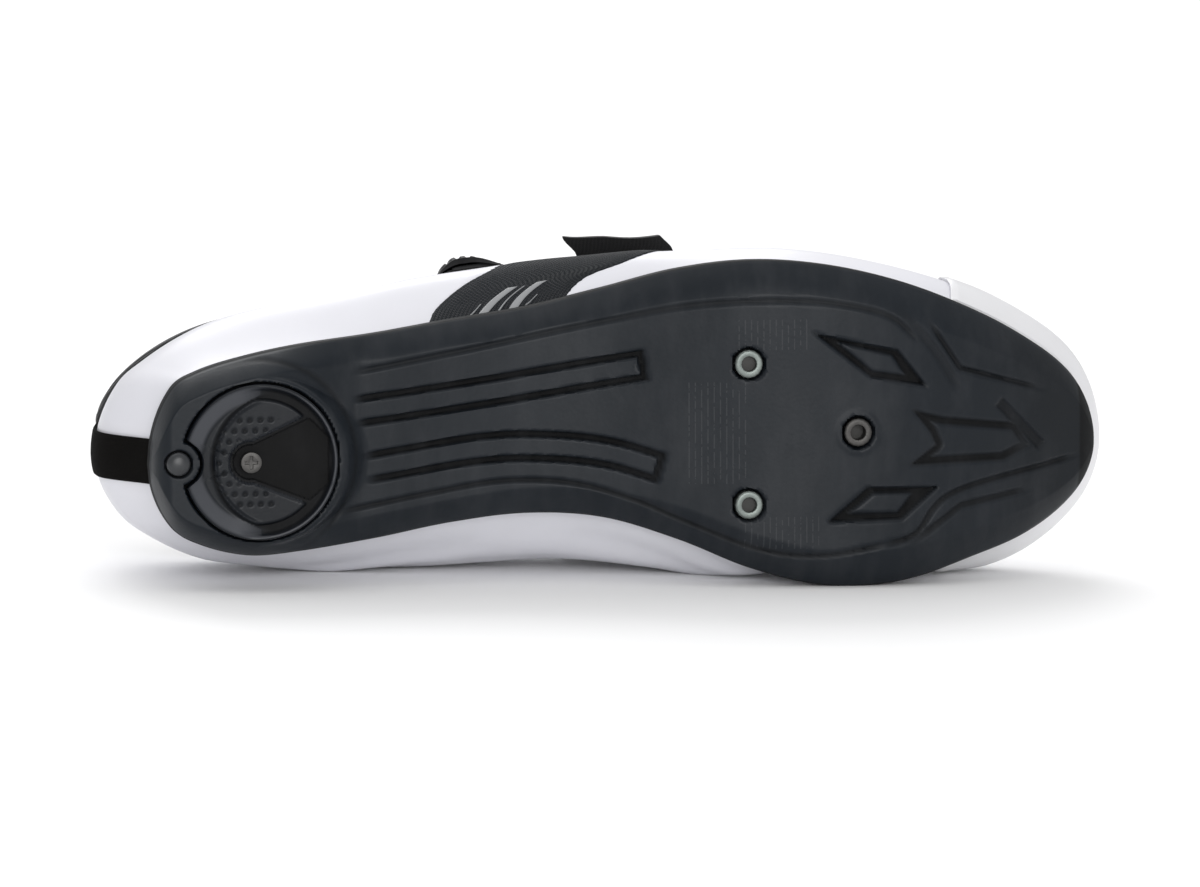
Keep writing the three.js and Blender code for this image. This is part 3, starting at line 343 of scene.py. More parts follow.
def catmull(points: Array, up: Array) -> Array:
    """Centripetal curve through four points in a row.

    Args:
        points: array of four points, each of the shape of up with three more values.
        up: place on the curve from 0 to 1.

    Returns:
        The points of the curve.
    """
    chain = [2 * points[0] - points[1], *points, 2 * points[3] - points[2]]
    gaps = [np.sum((b - a) ** 2, axis=-1) ** 0.25 for a, b in zip(chain, chain[1:])]
    place = np.clip(up, 0, 1) * 3
    out = np.zeros(points[0].shape)
    for k in range(3):
        p0, p1, p2, p3 = chain[k : k + 4]
        d0, d1, d2 = (g[..., None] for g in gaps[k : k + 3])
        t = (place - k)[..., None]
        m1 = ((p1 - p0) / d0 - (p2 - p0) / (d0 + d1) + (p2 - p1) / d1) * d1
        m2 = ((p2 - p1) / d1 - (p3 - p1) / (d1 + d2) + (p3 - p2) / d2) * d1
        square, cube = 3 * (p2 - p1) - 2 * m1 - m2, 2 * (p1 - p2) + m1 + m2
        cubic = p1 + m1 * t + square * t**2 + cube * t**3
        inside = (place >= k) & ((place < k + 1) | (k == 2))
        out = np.where(inside[..., None], cubic, out)
    return out


@dataclass
class WallForm:
    """Outer face of the upper, by the turn round the shoe and the way up the wall."""

    sole: SoleForm
    heel_overhang: float = 10.0
    toe_overhang: float = 2.5
    side_overhang: float = 15.0
    feather_inset: float = 1.2
    belly_rise: float = 20.0
    opening_length: float = 196.0
    opening_start: float = -1.0
    gap: float = 0.3
    sections: Table = field(init=False)
    opening: Table = field(init=False)

    def __post_init__(self) -> None:
        """Scales both tables."""
        turn, lateral, medial, *rest = np.array(UPPER_SECTIONS, dtype=float).T
        columns = {"lateral": lateral * self.side_overhang, "medial": medial * self.side_overhang}
        columns.update(zip(("rise", "along", "lateral_in", "medial_in", "up"), rest))
        self.sections = Table(np.radians(turn), columns)
        turn, at, width, lateral, medial, height, top = np.array(OPENING_EDGE, dtype=float).T
        self.opening = Table(
            np.radians(turn),
            {
                "x": self.opening_start + at * self.opening_length,
                "lateral": lateral * width,
                "medial": medial * width,
                "z": top * height,
            },
        )

    def guides(self, around: Array) -> Array:
        """Finds the four lines that the wall is drawn through.

        Args:
            around: turns round the shoe.

        Returns:
            Points on the feather line, the belly, the shoulder and the edge of the opening.
        """
        turn, outer = folded(around)
        sign = np.where(outer, LATERAL, MEDIAL)
        foot = self.sole.inset(around, self.feather_inset + 0 * around)

        def both(table: Table, column: str, even: bool) -> Array:
            """Reads the column of the side that a place is on."""
            lateral = table.read(turn, column.format("lateral"), even)
            return np.where(outer, lateral, table.read(turn, column.format("medial"), even))

        sole_x = SOLE_LENGTH * share_of(turn)
        s = self.sole.section(sole_x)
        length = SOLE_LENGTH + self.heel_overhang + self.toe_overhang
        rim_height = self.sole.section(foot[..., 0]).rim + self.gap
        feather = stack(foot[..., 0], foot[..., 1], rim_height)
        over = both(self.sections, "{}", False)
        belly = stack(
            -self.heel_overhang + length * share_of(turn),
            np.where(outer, s.lateral, s.medial) + sign * over,
            s.rim + self.belly_rise * self.sections.read(turn, "rise", True),
        )
        rim = stack(
            self.opening.read(turn, "x", True),
            sign * both(self.opening, "{}", False),
            self.opening.read(turn, "z", True),
        )
        inward = both(self.sections, "{}_in", True)
        shares = stack(
            self.sections.read(turn, "along", True), inward, self.sections.read(turn, "up", True)
        )
        return np.stack([feather, belly, mix(belly, rim, shares), rim])

    def face(self, around: Array, up: Array) -> Array:
        """Points of the outer face, also a little past the edge."""
        around, up = np.broadcast_arrays(np.asarray(around, float), np.asarray(up, float))
        points = self.guides(around)
        inside = catmull(points, up)
        top = catmull(points, np.ones_like(up))
        slope = (top - catmull(points, np.full_like(up, 0.97))) / 0.03
        return np.where((up > 1)[..., None], top + slope * (up - 1)[..., None], inside)

    def normal(self, around: Array, up: Array) -> Array:
        """Outward normals of the face."""
        step = 0.03
        along = self.face(around + step, up) - self.face(around - step, up)
        rise = self.face(around, up + 0.02) - self.face(around, np.maximum(up - 0.02, 0))
        out = np.cross(along, rise)
        return out / np.linalg.norm(out, axis=-1, keepdims=True)

    def skin(self, around: Array, up: Array, offset: Array) -> Array:
        """Points at a height over the face."""
        around, up = np.broadcast_arrays(np.asarray(around, float), np.asarray(up, float))
        raised = np.asarray(offset, float) + 0 * around
        return self.face(around, up) + self.normal(around, up) * raised[..., None]

    def turn_at(self, x: Array, up: Array, sign: int) -> Array:
        """Turn at which the wall passes through x, as the angle round the shoe."""
        x, up = np.broadcast_arrays(np.asarray(x, float), np.asarray(up, float))
        low, high = np.zeros_like(x), np.full_like(x, math.pi)
        for _ in range(22):
            middle = (low + high) / 2
            around = middle if sign == LATERAL else 2 * math.pi - middle
            before = self.face(around, up)[..., 0] < x
            low, high = np.where(before, middle, low), np.where(before, high, middle)
        middle = (low + high) / 2
        return middle if sign == LATERAL else 2 * math.pi - middle


def to_line(points: Array, x: Array, y: Array) -> tuple[Array, Array, float]:
    """Distance of places from a line of points.

    Args:
        points: corners of the line.
        x: places along the shoe.
        y: places across it.

    Returns:
        The distance, the way along the line, which runs on straight past its ends, and its length.
    """
    best = np.full(x.shape, 1e9)
    way = np.zeros(x.shape)
    start = 0.0
    last = len(points) - 2
    for i, (a, b) in enumerate(zip(points, points[1:])):
        edge = b - a
        length = float(np.hypot(*edge))
        t = ((x - a[0]) * edge[0] + (y - a[1]) * edge[1]) / length**2
        held = np.clip(t, -1e3 if i == 0 else 0, 1e3 if i == last else 1)
        distance = np.hypot(x - a[0] - held * edge[0], y - a[1] - held * edge[1])
        nearer = distance < best
        best = np.where(nearer, distance, best)
        way = np.where(nearer, start + held * length, way)
        start += length
    return best, way, start


def to_strip(points: Array, width: float, x: Array, y: Array) -> Array:
    """Signed distance from the edge of a strip with square ends, negative inside."""
    distance, way, length = to_line(points, x, y)
    return np.maximum(distance - width / 2, np.maximum(-way, way - length))


def to_polygon(points: Array, x: Array, y: Array) -> Array:
    """Signed distance from a polygon's edge, negative inside."""
    best = np.full(x.shape, 1e9)
    inside = np.zeros(x.shape, dtype=bool)
    for a, b in zip(points, np.roll(points, -1, axis=0)):
        edge = b - a
        t = np.clip(((x - a[0]) * edge[0] + (y - a[1]) * edge[1]) / float(edge @ edge), 0, 1)
        best = np.minimum(best, np.hypot(x - a[0] - t * edge[0], y - a[1] - t * edge[1]))
        crosses = (a[1] > y) != (b[1] > y)
        rise = edge[1] if edge[1] else 1e-9
        inside ^= crosses & (x < a[0] + (y - a[1]) * edge[0] / rise)
    return np.where(inside, -best, best)


def curved(points: Array, steps: int = 12) -> Array:
    """The same line with soft turns, through all of its points."""
    ends = np.vstack([2 * points[0] - points[1], points, 2 * points[-1] - points[-2]])
    out = []
    for p0, p1, p2, p3 in zip(ends, ends[1:], ends[2:], ends[3:]):
        for k in range(steps):
            t = k / steps
            out.append(
                p1
                + 0.5 * (p2 - p0) * t
                + (p0 - 2.5 * p1 + 2 * p2 - 0.5 * p3) * t**2
                + (1.5 * (p1 - p2) + 0.5 * (p3 - p0)) * t**3
            )
    return np.array(out + [points[-1]])


@dataclass(frozen=True)
class Relief:
    """Depth into the sole of its moulded shapes at given places, with the shade painted into their
    hollows; dark below 0 is a painted highlight.
    """

    depth: Array
    # painted shade in the hollows, below 0 a painted highlight
    dark: Array


@dataclass(frozen=True)
class Groove:
    """A moulded line: corners as shares, width, depth, the shade painted in it, turns and the ridge
    beside it.
    """

    corners: tuple
    width: float
    depth: float
    # shade painted into the groove
    dark: float
    sharp: bool = False
    ridge_side: int = 0


@dataclass
class SoleRelief:
    """Shapes moulded in the underside, with shade painted into their grooves and recesses. Places
    are shares of SOLE_LENGTH and BALL_WIDTH.
    """

    bar_width: float = 8.6
    groove_width: float = 1.9
    groove_depth: float = 1.5
    ridge_away: float = 2.6
    ridge_height: float = 0.75
    ridge_width: float = 1.7
    bars: tuple = (
        ((0.206, -0.134), (0.36, -0.19), (0.512, -0.262)),
        ((0.217, 0.043), (0.343, -0.008), (0.415, -0.009), (0.475, 0.013), (0.528, 0.061)),
    )
    diamonds: tuple = (
        (
            ((0.682, -0.356), (0.77, -0.296), (0.801, -0.18), (0.742, -0.213)),
            ((0.706, -0.326), (0.764, -0.281), (0.778, -0.217), (0.743, -0.233)),
        ),
        (
            ((0.696, 0.236), (0.738, 0.13), (0.814, 0.137), (0.774, 0.234)),
            ((0.718, 0.21), (0.744, 0.149), (0.786, 0.153), (0.77, 0.213)),
        ),
    )
    toe_recess: tuple = (
        ((0.787, -0.105), (0.818, -0.08), (0.902, -0.046), (0.92, 0.028))
        + ((0.888, 0.066), (0.784, 0.064), (0.812, 0.006), (0.806, -0.035))
    )
    toe_bar: tuple = ((0.887, -0.105), (0.928, 0.02))
    diamond_depth: float = 1.9
    diamond_floor: float = 1.1
    recess_depth: float = 0.8
    recess_line: float = 0.7
    # painted shade over the upturned toe
    toe_shade: float = 0.35
    grooves: tuple[Groove, ...] = (
        Groove(((0.806, -0.372), (0.838, -0.232), (0.93, -0.15)), 1.2, 1.0, 0.75, sharp=True),
        Groove(((0.772, -0.42), (0.808, -0.3), (0.836, -0.17)), 2.4, 0.5, 0.2),
        Groove(((0.757, 0.311), (0.79, 0.279), (0.832, 0.158), (0.97, 0.075)), 1.4, 1.1, 0.8),
        Groove(((0.79, 0.3), (0.84, 0.2), (0.915, 0.165)), 1.6, 0.9, 0.75, sharp=True),
        Groove(
            ((0.215, -0.262), (0.35, -0.33), (0.47, -0.4), (0.55, -0.445))
            + ((0.626, -0.461), (0.7, -0.45), (0.76, -0.405), (0.79, -0.33)),
            1.4,
            0.8,
            0.5,
            ridge_side=LATERAL,
        ),
        Groove(
            ((0.2, 0.17), (0.29, 0.125), (0.366, 0.094), (0.437, 0.105), (0.5, 0.16))
            + ((0.549, 0.225), (0.626, 0.318), (0.69, 0.34), (0.757, 0.311)),
            1.3,
            0.8,
            0.7,
            ridge_side=MEDIAL,
        ),
    )

    @staticmethod
    def points(shares: Sequence[tuple]) -> Array:
        """Corners in millimetres."""
        return np.array(shares, dtype=float) * (SOLE_LENGTH, BALL_WIDTH)

    def at(self, x: Array, y: Array) -> Relief:
        """Adds up all shapes.

        Args:
            x: places along the shoe.
            y: places across it.

        Returns:
            Depth and painted shade at the places.
        """
        depth, dark = np.zeros(x.shape), np.zeros(x.shape)

        def press(amount: Array, painted_shade: Array) -> None:
            """Keeps the deeper of two shapes and the darker of their painted shades."""
            np.maximum(depth, amount, out=depth)
            np.maximum(dark, painted_shade, out=dark)

        for bar in self.bars:
            line = curved(self.points(bar))
            edge = to_strip(line, self.bar_width, x, y)
            middle = np.abs(edge + self.groove_width / 2)
            ring = smooth(self.groove_width / 2 + 0.25, self.groove_width / 2 - 0.45, middle)
            ring *= smooth(0.5, 6.0, to_line(line, x, y)[1])
            # painted shade in the groove round the bar
            press(self.groove_depth * ring, ring)
        for outer, inner in self.diamonds:
            hole = smooth(0.35, -0.6, to_polygon(self.points(outer), x, y))
            plate = smooth(0.5, -0.4, to_polygon(self.points(inner), x, y))
            # painted shade in the ring round the diamond's raised floor
            press(self.diamond_depth * hole - self.diamond_floor * plate, hole * (1 - plate))
        edge = to_polygon(self.points(self.toe_recess), x, y)
        floor = smooth(0.3, -1.1, edge)
        rear = smooth(0.94, 0.89, x / SOLE_LENGTH)
        line = smooth(1.5, 0.5, np.abs(edge + 0.9)) * rear
        sunk = self.recess_depth * floor * (0.35 + 0.65 * rear)
        # painted shade along the recess's edge
        press(sunk + self.recess_line * line, 0.95 * line)
        tip = smooth(4.0, 1.6, 2 * np.abs(to_strip(self.points(self.toe_bar), 0.1, x, y)))
        # painted shade on the toe bar
        press(1.0 * tip, 0.6 * tip)
        for groove in self.grooves:
            points = self.points(groove.corners)
            distance, way, length = to_line(points if groove.sharp else curved(points), x, y)
            fade = smooth(-3, 5, way) * smooth(length + 3, length - 5, way)
            line = smooth(groove.width / 2 + 0.5, groove.width / 2 - 0.5, distance) * fade
            # painted shade in the groove
            press(groove.depth * line, groove.dark * line)
        for groove in self.grooves:
            if groove.ridge_side:
                aside = (0, groove.ridge_side * self.ridge_away)
                line = curved(self.points(groove.corners)) + aside
                distance, way, length = to_line(line, x, y)
                fade = smooth(-3, 9, way) * smooth(length + 3, length - 5, way)
                depth -= self.ridge_height * np.exp(-((distance / self.ridge_width) ** 2)) * fade
        # painted shade darkening the upturned toe
        toe = self.toe_shade * smooth(0.84, 0.96, x / SOLE_LENGTH)
        return Relief(depth, np.maximum(dark, toe))


@dataclass
class PadRelief:
    """Relief of the heel pad: keyhole for the screw, two dimpled lobes and a bevelled crescent,
    with painted shade in its hollows and painted highlights on the crescent, the rim and the
    keyhole's outline.
    """

    pad_at: float = PAD_AT
    radius: float = PAD_RADIUS
    screw_at: float = 26.8
    seat_radius: float = 5.0
    crescent_shift: float = 5.0
    lobe_cut: float = 5.5
    crescent_reach: float = 0.86
    bowl_depth: float = 1.9
    lobe_height: float = 0.95
    step_height: float = 0.5
    keyhole_depth: float = 2.6
    dimple_pitch: float = 2.9
    dimple_size: float = 0.6
    dimple_depth: float = 0.35
    # painted shade in the dimples and the bowl, painted highlight on the rim and round the keyhole
    dimple_shade: float = 0.6
    bowl_shade: float = 0.85
    rib_shine: float = 0.9
    outline_shine: float = 0.35

    def keyhole(self, x: Array, y: Array) -> Array:
        """Signed distance from the keyhole's edge, negative inside."""
        reach = self.pad_at + 0.9 * self.radius
        wedge = np.array(
            [
                (self.screw_at, -0.93 * self.seat_radius),
                (reach - 5.5, -0.56 * self.radius),
                (reach, -0.3 * self.radius),
                (reach, 0.3 * self.radius),
                (reach - 5.5, 0.52 * self.radius),
                (self.screw_at, 0.93 * self.seat_radius),
            ]
        )
        seat = np.hypot(x - self.screw_at, y) - self.seat_radius
        return np.minimum(seat, to_polygon(wedge, x, y))

    def crescent(self, x: Array, y: Array, shift: float) -> Array:
        """Signed distance from the disc that bounds the crescent, negative inside."""
        return np.hypot(x - self.pad_at - shift, y) - self.crescent_reach * self.radius

    def lobes(self, x: Array, y: Array) -> Array:
        """Mask of the raised lobes either side of the keyhole."""
        out = np.hypot(x - self.pad_at, y)
        crescent = self.crescent(x, y, self.lobe_cut)
        disc = smooth(0.4, -0.4, np.maximum(out - 0.8 * self.radius, crescent))
        return disc * smooth(0.3, 1.0, self.keyhole(x, y) - 0.3)

    def dimples(self, x: Array, y: Array) -> Array:
        """Mask of small round dimples on the lobes."""
        pitch, size = self.dimple_pitch, self.dimple_size
        row = np.round(y / pitch)
        shifted = x - self.pad_at - np.mod(row, 2) * pitch / 2
        across = shifted - pitch * np.round(shifted / pitch)
        away = np.hypot(across, y - row * pitch)
        zone = smooth(1.4, 2.2, self.keyhole(x, y)) * smooth(9.5, 8.5, np.abs(x - self.pad_at + 4))
        reach = smooth(0.66 * self.radius, 0.62 * self.radius, np.hypot(x - self.pad_at, y))
        return smooth(size + 0.25, size - 0.25, away) * zone * reach

    def at(self, x: Array, y: Array) -> Relief:
        """Depth, painted shade and painted highlight at the places given."""
        out = np.hypot(x - self.pad_at, y)
        rim = smooth(0.965 * self.radius, 0.9 * self.radius, out)
        crescent = self.crescent(x, y, self.crescent_shift)
        left = smooth(-0.2, 0.7, crescent) * smooth(self.pad_at + 4, self.pad_at - 7, x)
        slope = np.clip((self.radius - out) / 5.5, 0, 1)
        step = smooth(-1.6, -0.9, crescent) * smooth(self.pad_at + 2, self.pad_at - 6, x)
        bowl = self.bowl_depth * rim * (1 - left) + left * (0.2 + 1.5 * slope)
        keyhole = smooth(0.45, -0.45, self.keyhole(x, y))
        lobes = self.lobes(x, y) * (1 - left)
        raised = self.lobe_height * lobes + self.step_height * step * (1 - left)
        dimples = self.dimples(x, y)
        depth = np.maximum(bowl - raised, self.keyhole_depth * keyhole)
        depth = depth + self.dimple_depth * dimples
        # painted shade in the keyhole, the sunk bowl and the dimples
        dark = np.maximum(keyhole, self.bowl_shade * rim * (1 - left) * (1 - lobes))
        dark = np.maximum(dark, self.dimple_shade * dimples)
        # painted highlight on the crescent's bevel, the rim rib and the keyhole's outline
        shine = left * smooth(0.0, 0.25, slope) * smooth(1.0, 0.75, slope)
        rib = smooth(0.94, 0.965, out / self.radius) * smooth(1.0, 0.985, out / self.radius)
        rib = rib * smooth(self.pad_at - 4, self.pad_at + 9, x + 0.5 * y)
        edge = np.abs(self.keyhole(x, y) - 0.9)
        outline = self.outline_shine * smooth(0.5, 0.15, edge) * (1 - left)
        outline *= smooth(0.8 * self.radius, 0.74 * self.radius, out)
        shine = np.maximum(shine, np.maximum(self.rib_shine * rib, outline))
        # a painted highlight is kept as dark below 0
        return Relief(depth, np.where(shine > 0, np.where(shine > 0.3, 0, dark) - shine, dark))


@dataclass
class ShoeFrame:
    """Place of the shoe frame in the row's frame, read from the mounts on the cleat inserts."""

    insert_at: float = 166.6
    insert_axis: float = -3.9
    insert_span: float = 39.2
    ring_radius: float = 3.05
    insert_face: float = 1.31
    matrix: Matrix = field(init=False)

    def __post_init__(self) -> None:
        """Builds the matrix from the two rear mounts."""
        mounts = {m["name"]: m for m in frame["record"]["mounts"]}
        rear = mounts["cleat_face_rear_lateral"]
        lateral = Vector(rear["pos_m"])
        medial = Vector(mounts["cleat_face_rear_medial"]["pos_m"])
        z_axis = -Vector(rear["axis"]).normalized()
        y_axis = (medial - lateral).normalized()
        y_axis = (y_axis - z_axis * y_axis.dot(z_axis)).normalized()
        x_axis = y_axis.cross(z_axis)
        turn = Matrix((x_axis, y_axis, z_axis)).transposed()
        place = Vector(
            (
                self.insert_at + self.ring_radius,
                self.insert_axis - self.insert_span / 2,
                self.insert_face,
            )
        )
        self.matrix = (turn * MM).to_4x4()
        self.matrix.translation = lateral - turn @ (place * MM)

    def points(self, local: Array) -> Array:
        """Moves points from the shoe frame, in millimetres, to the row's frame, in metres."""
        m = np.array(self.matrix)
        return local @ m[:3, :3].T + m[:3, 3]

    def direction(self, local: Sequence[float]) -> Vector:
        """Turns a direction from the shoe frame."""
        return (self.matrix.to_3x3() @ Vector(local)).normalized()


def deselect() -> None:
    """Leaves edit mode and deselects everything."""
    if bpy.context.object and bpy.context.object.mode != "OBJECT":
        bpy.ops.object.mode_set(mode="OBJECT")
    bpy.ops.object.select_all(action="DESELECT")


def pick(obj: Obj) -> None:
    """Selects one object and makes it active."""
    deselect()
    obj.select_set(True)
    bpy.context.view_layer.objects.active = obj


def finish_with(obj: Obj, kind: str, **settings: object) -> None:
    """Adds a modifier with settings and applies it."""
    pick(obj)
    modifier = obj.modifiers.new(kind.lower(), kind)
    for key, value in settings.items():
        setattr(modifier, key, value)
    bpy.ops.object.modifier_apply(modifier=modifier.name)


def weld(obj: Obj, distance: float) -> None:
    """Merges corners that share a place."""
    pick(obj)
    edit_all(bpy.ops.mesh.remove_doubles, threshold=distance)


def face_outwards(obj: Obj) -> None:
    """Turns the faces of a closed mesh outwards."""
    bm = bmesh.new()
    bm.from_mesh(obj.data)
    if bm.calc_volume(signed=True) < 0:
        bmesh.ops.reverse_faces(bm, faces=bm.faces)
        bm.to_mesh(obj.data)
    bm.free()


def soften(obj: Obj, angle: float) -> None:
    """Shades a piece smooth up to an angle."""
    pick(obj)
    bpy.ops.object.shade_smooth_by_angle(angle=math.radians(angle))


def settle(obj: Obj, angle: float, distance: float = 0.0) -> None:
    """Merges corners nearer than distance, turns the faces outwards and shades the piece smooth."""
    if distance:
        weld(obj, distance)
    face_outwards(obj)
    soften(obj, angle)


def round_edges(obj: Obj, width: float, angle: float, segments: int = 3) -> None:
    """Rounds the edges that are sharper than an angle, by a width in millimetres."""
    limits = {"limit_method": "ANGLE", "angle_limit": angle}
    finish_with(obj, "BEVEL", width=width * MM, segments=segments, **limits)


@dataclass
class Loft:
    """A grid primitive that is laid on a surface of the shoe."""

    shoe: ShoeFrame
    name: str
    rows: int
    columns: int

    def lay(self, surface: Surface, weave: Optional[Surface] = None) -> Obj:
        """Adds the grid and moves its corners.

        Args:
            surface: points in the shoe frame by two shares, along and across.
            weave: texture places in centimetres by the same shares.

        Returns:
            The new object.
        """
        deselect()
        steps = {"x_subdivisions": self.rows, "y_subdivisions": self.columns}
        bpy.ops.mesh.primitive_grid_add(size=1, **steps)
        obj = bpy.context.object
        obj.name = obj.data.name = self.name
        count = len(obj.data.vertices)
        flat = np.empty(count * 3)
        obj.data.vertices.foreach_get("co", flat)
        plan = flat.reshape(-1, 3) + 0.5
        u, v = np.clip(plan[:, 0], 0, 1), np.clip(plan[:, 1], 0, 1)
        placed = self.shoe.points(surface(u, v))
        obj.data.vertices.foreach_set("co", placed.ravel())
        if weave is not None:
            loops = np.empty(len(obj.data.loops), dtype=int)
            obj.data.loops.foreach_get("vertex_index", loops)
            places = weave(u, v)[loops]
            obj.data.uv_layers.active.data.foreach_set("uv", places.ravel())
        obj.data.update()
        return obj


def note(obj: Obj, name: str, values: Array) -> None:
    """Keeps a value at each corner for the materials."""
    layer = obj.data.attributes.new(name, "FLOAT", "POINT")
    layer.data.foreach_set("value", np.asarray(values, dtype=np.float32))


def copy_of(solid: str, name: str) -> Obj:
    """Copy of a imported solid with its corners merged."""
    deselect()
    source = frame["nodes"][solid]
    obj = source.copy()
    obj.data = source.data.copy()
    obj.name = obj.data.name = name
    obj.parent = None
    obj.matrix_world = source.matrix_world
    bpy.context.scene.collection.objects.link(obj)
    obj.data.materials.clear()
    pick(obj)
    bpy.ops.object.transform_apply(location=True, rotation=True, scale=True)
    weld(obj, 2e-5)
    return obj


def edit_all(step: Callable[..., object], **settings: object) -> None:
    """Runs one edit-mode step on the whole active piece."""
    bpy.ops.object.mode_set(mode="EDIT")
    bpy.ops.mesh.select_all(action="SELECT")
    step(**settings)
    bpy.ops.object.mode_set(mode="OBJECT")


def softened_copy(solid: str, name: str, bevel: float = 0.0) -> Obj:
    """Copy of a packed soft piece with rounder forms and a weave map.

    Args:
        solid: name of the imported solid.
        name: name of the piece.
        bevel: width of its rounded edges in millimetres, or 0 for none.

    Returns:
        The copy.
    """
    obj = copy_of(solid, name)
    pick(obj)
    edit_all(bpy.ops.mesh.tris_convert_to_quads)
    if bevel:
        round_edges(obj, bevel, 0.9, 2)
    finish_with(obj, "SUBSURF", levels=2, render_levels=2)
    soften(obj, 60)
    pick(obj)
    edit_all(bpy.ops.uv.cube_project, cube_size=0.01, scale_to_bounds=False, correct_aspect=False)
    return obj


# fields of ticks in centimetres: from and to along the sole, from and to across it
TICK_FIELDS = ((16.3, 18.3, -3.6, -2.75), (15.0, 16.6, -1.85, 1.0), (16.4, 18.6, 1.95, 2.85))
TICK_PITCH = 18.5
TICK_LEVEL = 0.955
TICK_COLOUR = (0.085, 0.088, 0.092)


class Pattern(Enum):
    """Kind of surface texture."""

    GRAIN = "grain"
    WEAVE = "weave"


def number_group(name: str, inputs: Sequence[str], outputs: Sequence[str]) -> tuple:
    """New node group of plain numbers, with its input and output node."""
    tree = bpy.data.node_groups.new(name, "ShaderNodeTree")
    for way, titles in (("INPUT", inputs), ("OUTPUT", outputs)):
        for title in titles:
            tree.interface.new_socket(name=title, in_out=way, socket_type="NodeSocketFloat")
    return tree, tree.nodes.new("NodeGroupInput"), tree.nodes.new("NodeGroupOutput")


def node(tree: Tree, kind: str, **values: object) -> bpy.types.Node:
    """Adds a node and sets its options and the inputs named in values."""
    made = tree.nodes.new(kind)
    for key, value in values.items():
        if key in made.inputs:
            made.inputs[key].default_value = value
        else:
            setattr(made, key, value)
    return made


def feed(tree: Tree, end: Socket, value: object) -> None:
    """Links a socket to an input, or sets the input to a plain value."""
    if isinstance(value, Socket):
        tree.links.new(value, end)
    else:
        end.default_value = value


def maths(tree: Tree, operation: str, a: object, b: object) -> Socket:
    """Joins two numbers or sockets by a Math node."""
    made = tree.nodes.new("ShaderNodeMath")
    made.operation = operation
    for place, value in enumerate((a, b)):
        feed(tree, made.inputs[place], value)
    return made.outputs[0]


def times(tree: Tree, a: object, b: object) -> Socket:
    """Product of two numbers or sockets."""
    return maths(tree, "MULTIPLY", a, b)


def plus(tree: Tree, a: object, b: object) -> Socket:
    """Sum of two numbers or sockets."""
    return maths(tree, "ADD", a, b)


def blend(tree: Tree, share: object, a: object, b: object) -> Socket:
    """Mixes two colours by a share."""
    made = node(tree, "ShaderNodeMix", data_type="RGBA", clamp_factor=True)
    for place, value in ((0, share), (6, a), (7, b)):
        feed(tree, made.inputs[place], (*value, 1.0) if isinstance(value, tuple) else value)
    return made.outputs[2]


def effect(tree: Tree, shared: Tree, **values: float) -> bpy.types.Node:
    """Adds a shared effect and sets its inputs."""
    made = tree.nodes.new("ShaderNodeGroup")
    made.node_tree = shared
    for key, value in values.items():
        made.inputs[key].default_value = value
    return made


def map_places(tree: Tree) -> tuple[Socket, Socket, Socket]:
    """The piece's own texture map, and its two parts."""
    place = tree.nodes.new("ShaderNodeTexCoord").outputs["UV"]
    parts = tree.nodes.new("ShaderNodeSeparateXYZ")
    tree.links.new(place, parts.inputs[0])
    return place, parts.outputs["X"], parts.outputs["Y"]


def grain_group() -> Tree:
    """Group of fine grain with a broad mottle, on object coordinates."""
    tree, start, end = number_group("fine_grain", ("Scale", "Broad"), ("Height", "Mottle"))
    place = tree.nodes.new("ShaderNodeTexCoord")
    cells = node(tree, "ShaderNodeTexVoronoi", feature="SMOOTH_F1")
    broad = node(tree, "ShaderNodeTexNoise", Detail=4.0, Roughness=0.6)
    fine = node(tree, "ShaderNodeTexNoise", Detail=3.0, Roughness=0.7)
    for made in (cells, broad, fine):
        tree.links.new(place.outputs["Object"], made.inputs["Vector"])
    tree.links.new(start.outputs["Scale"], cells.inputs["Scale"])
    tree.links.new(start.outputs["Broad"], broad.inputs["Scale"])
    tree.links.new(times(tree, start.outputs["Scale"], 0.6), fine.inputs["Scale"])
    finer = times(tree, fine.outputs["Fac"], 0.8)
    height = plus(tree, cells.outputs["Distance"], finer)
    tree.links.new(height, end.inputs["Height"])
    tree.links.new(broad.outputs["Fac"], end.inputs["Mottle"])
    return tree


def weave_group() -> Tree:
    """Group of an over-and-under weave on the piece's own UV map."""
    tree, start, end = number_group("plain_weave", ("Threads", "Lean"), ("Height",))
    _, x, y = map_places(tree)
    leaned = plus(tree, x, times(tree, y, start.outputs["Lean"]))
    across = times(tree, leaned, start.outputs["Threads"])
    along = times(tree, y, start.outputs["Threads"])
    warp = maths(tree, "ABSOLUTE", maths(tree, "SINE", across, 0), 0)
    weft = maths(tree, "ABSOLUTE", maths(tree, "SINE", along, 0), 0)
    over = times(tree, maths(tree, "COSINE", across, 0), maths(tree, "COSINE", along, 0))
    which = maths(tree, "GREATER_THAN", over, 0.0)
    high = times(tree, which, warp)
    low = times(tree, maths(tree, "SUBTRACT", 1.0, which), weft)
    tree.links.new(plus(tree, high, low), end.inputs["Height"])
    return tree


def dust_group() -> Tree:
    """Group of sparse dust and light scuffs on object coordinates."""
    tree, start, end = number_group("light_dust", ("Amount",), ("Mask",))
    place = tree.nodes.new("ShaderNodeTexCoord")
    patches = node(tree, "ShaderNodeTexNoise", Scale=28.0, Detail=5.0, Roughness=0.7)
    streaks = node(tree, "ShaderNodeTexNoise", Scale=160.0, Detail=3.0, Roughness=0.6)
    turned = node(tree, "ShaderNodeMapping", Scale=(1.0, 0.35, 0.35))
    tree.links.new(place.outputs["Object"], patches.inputs["Vector"])
    tree.links.new(place.outputs["Object"], turned.inputs["Vector"])
    tree.links.new(turned.outputs[0], streaks.inputs["Vector"])
    both = times(tree, patches.outputs["Fac"], streaks.outputs["Fac"])
    above = maths(tree, "MAXIMUM", maths(tree, "SUBTRACT", both, 0.2), 0.0)
    raised = times(tree, above, 3.0)
    tree.links.new(times(tree, raised, start.outputs["Amount"]), end.inputs["Mask"])
    return tree


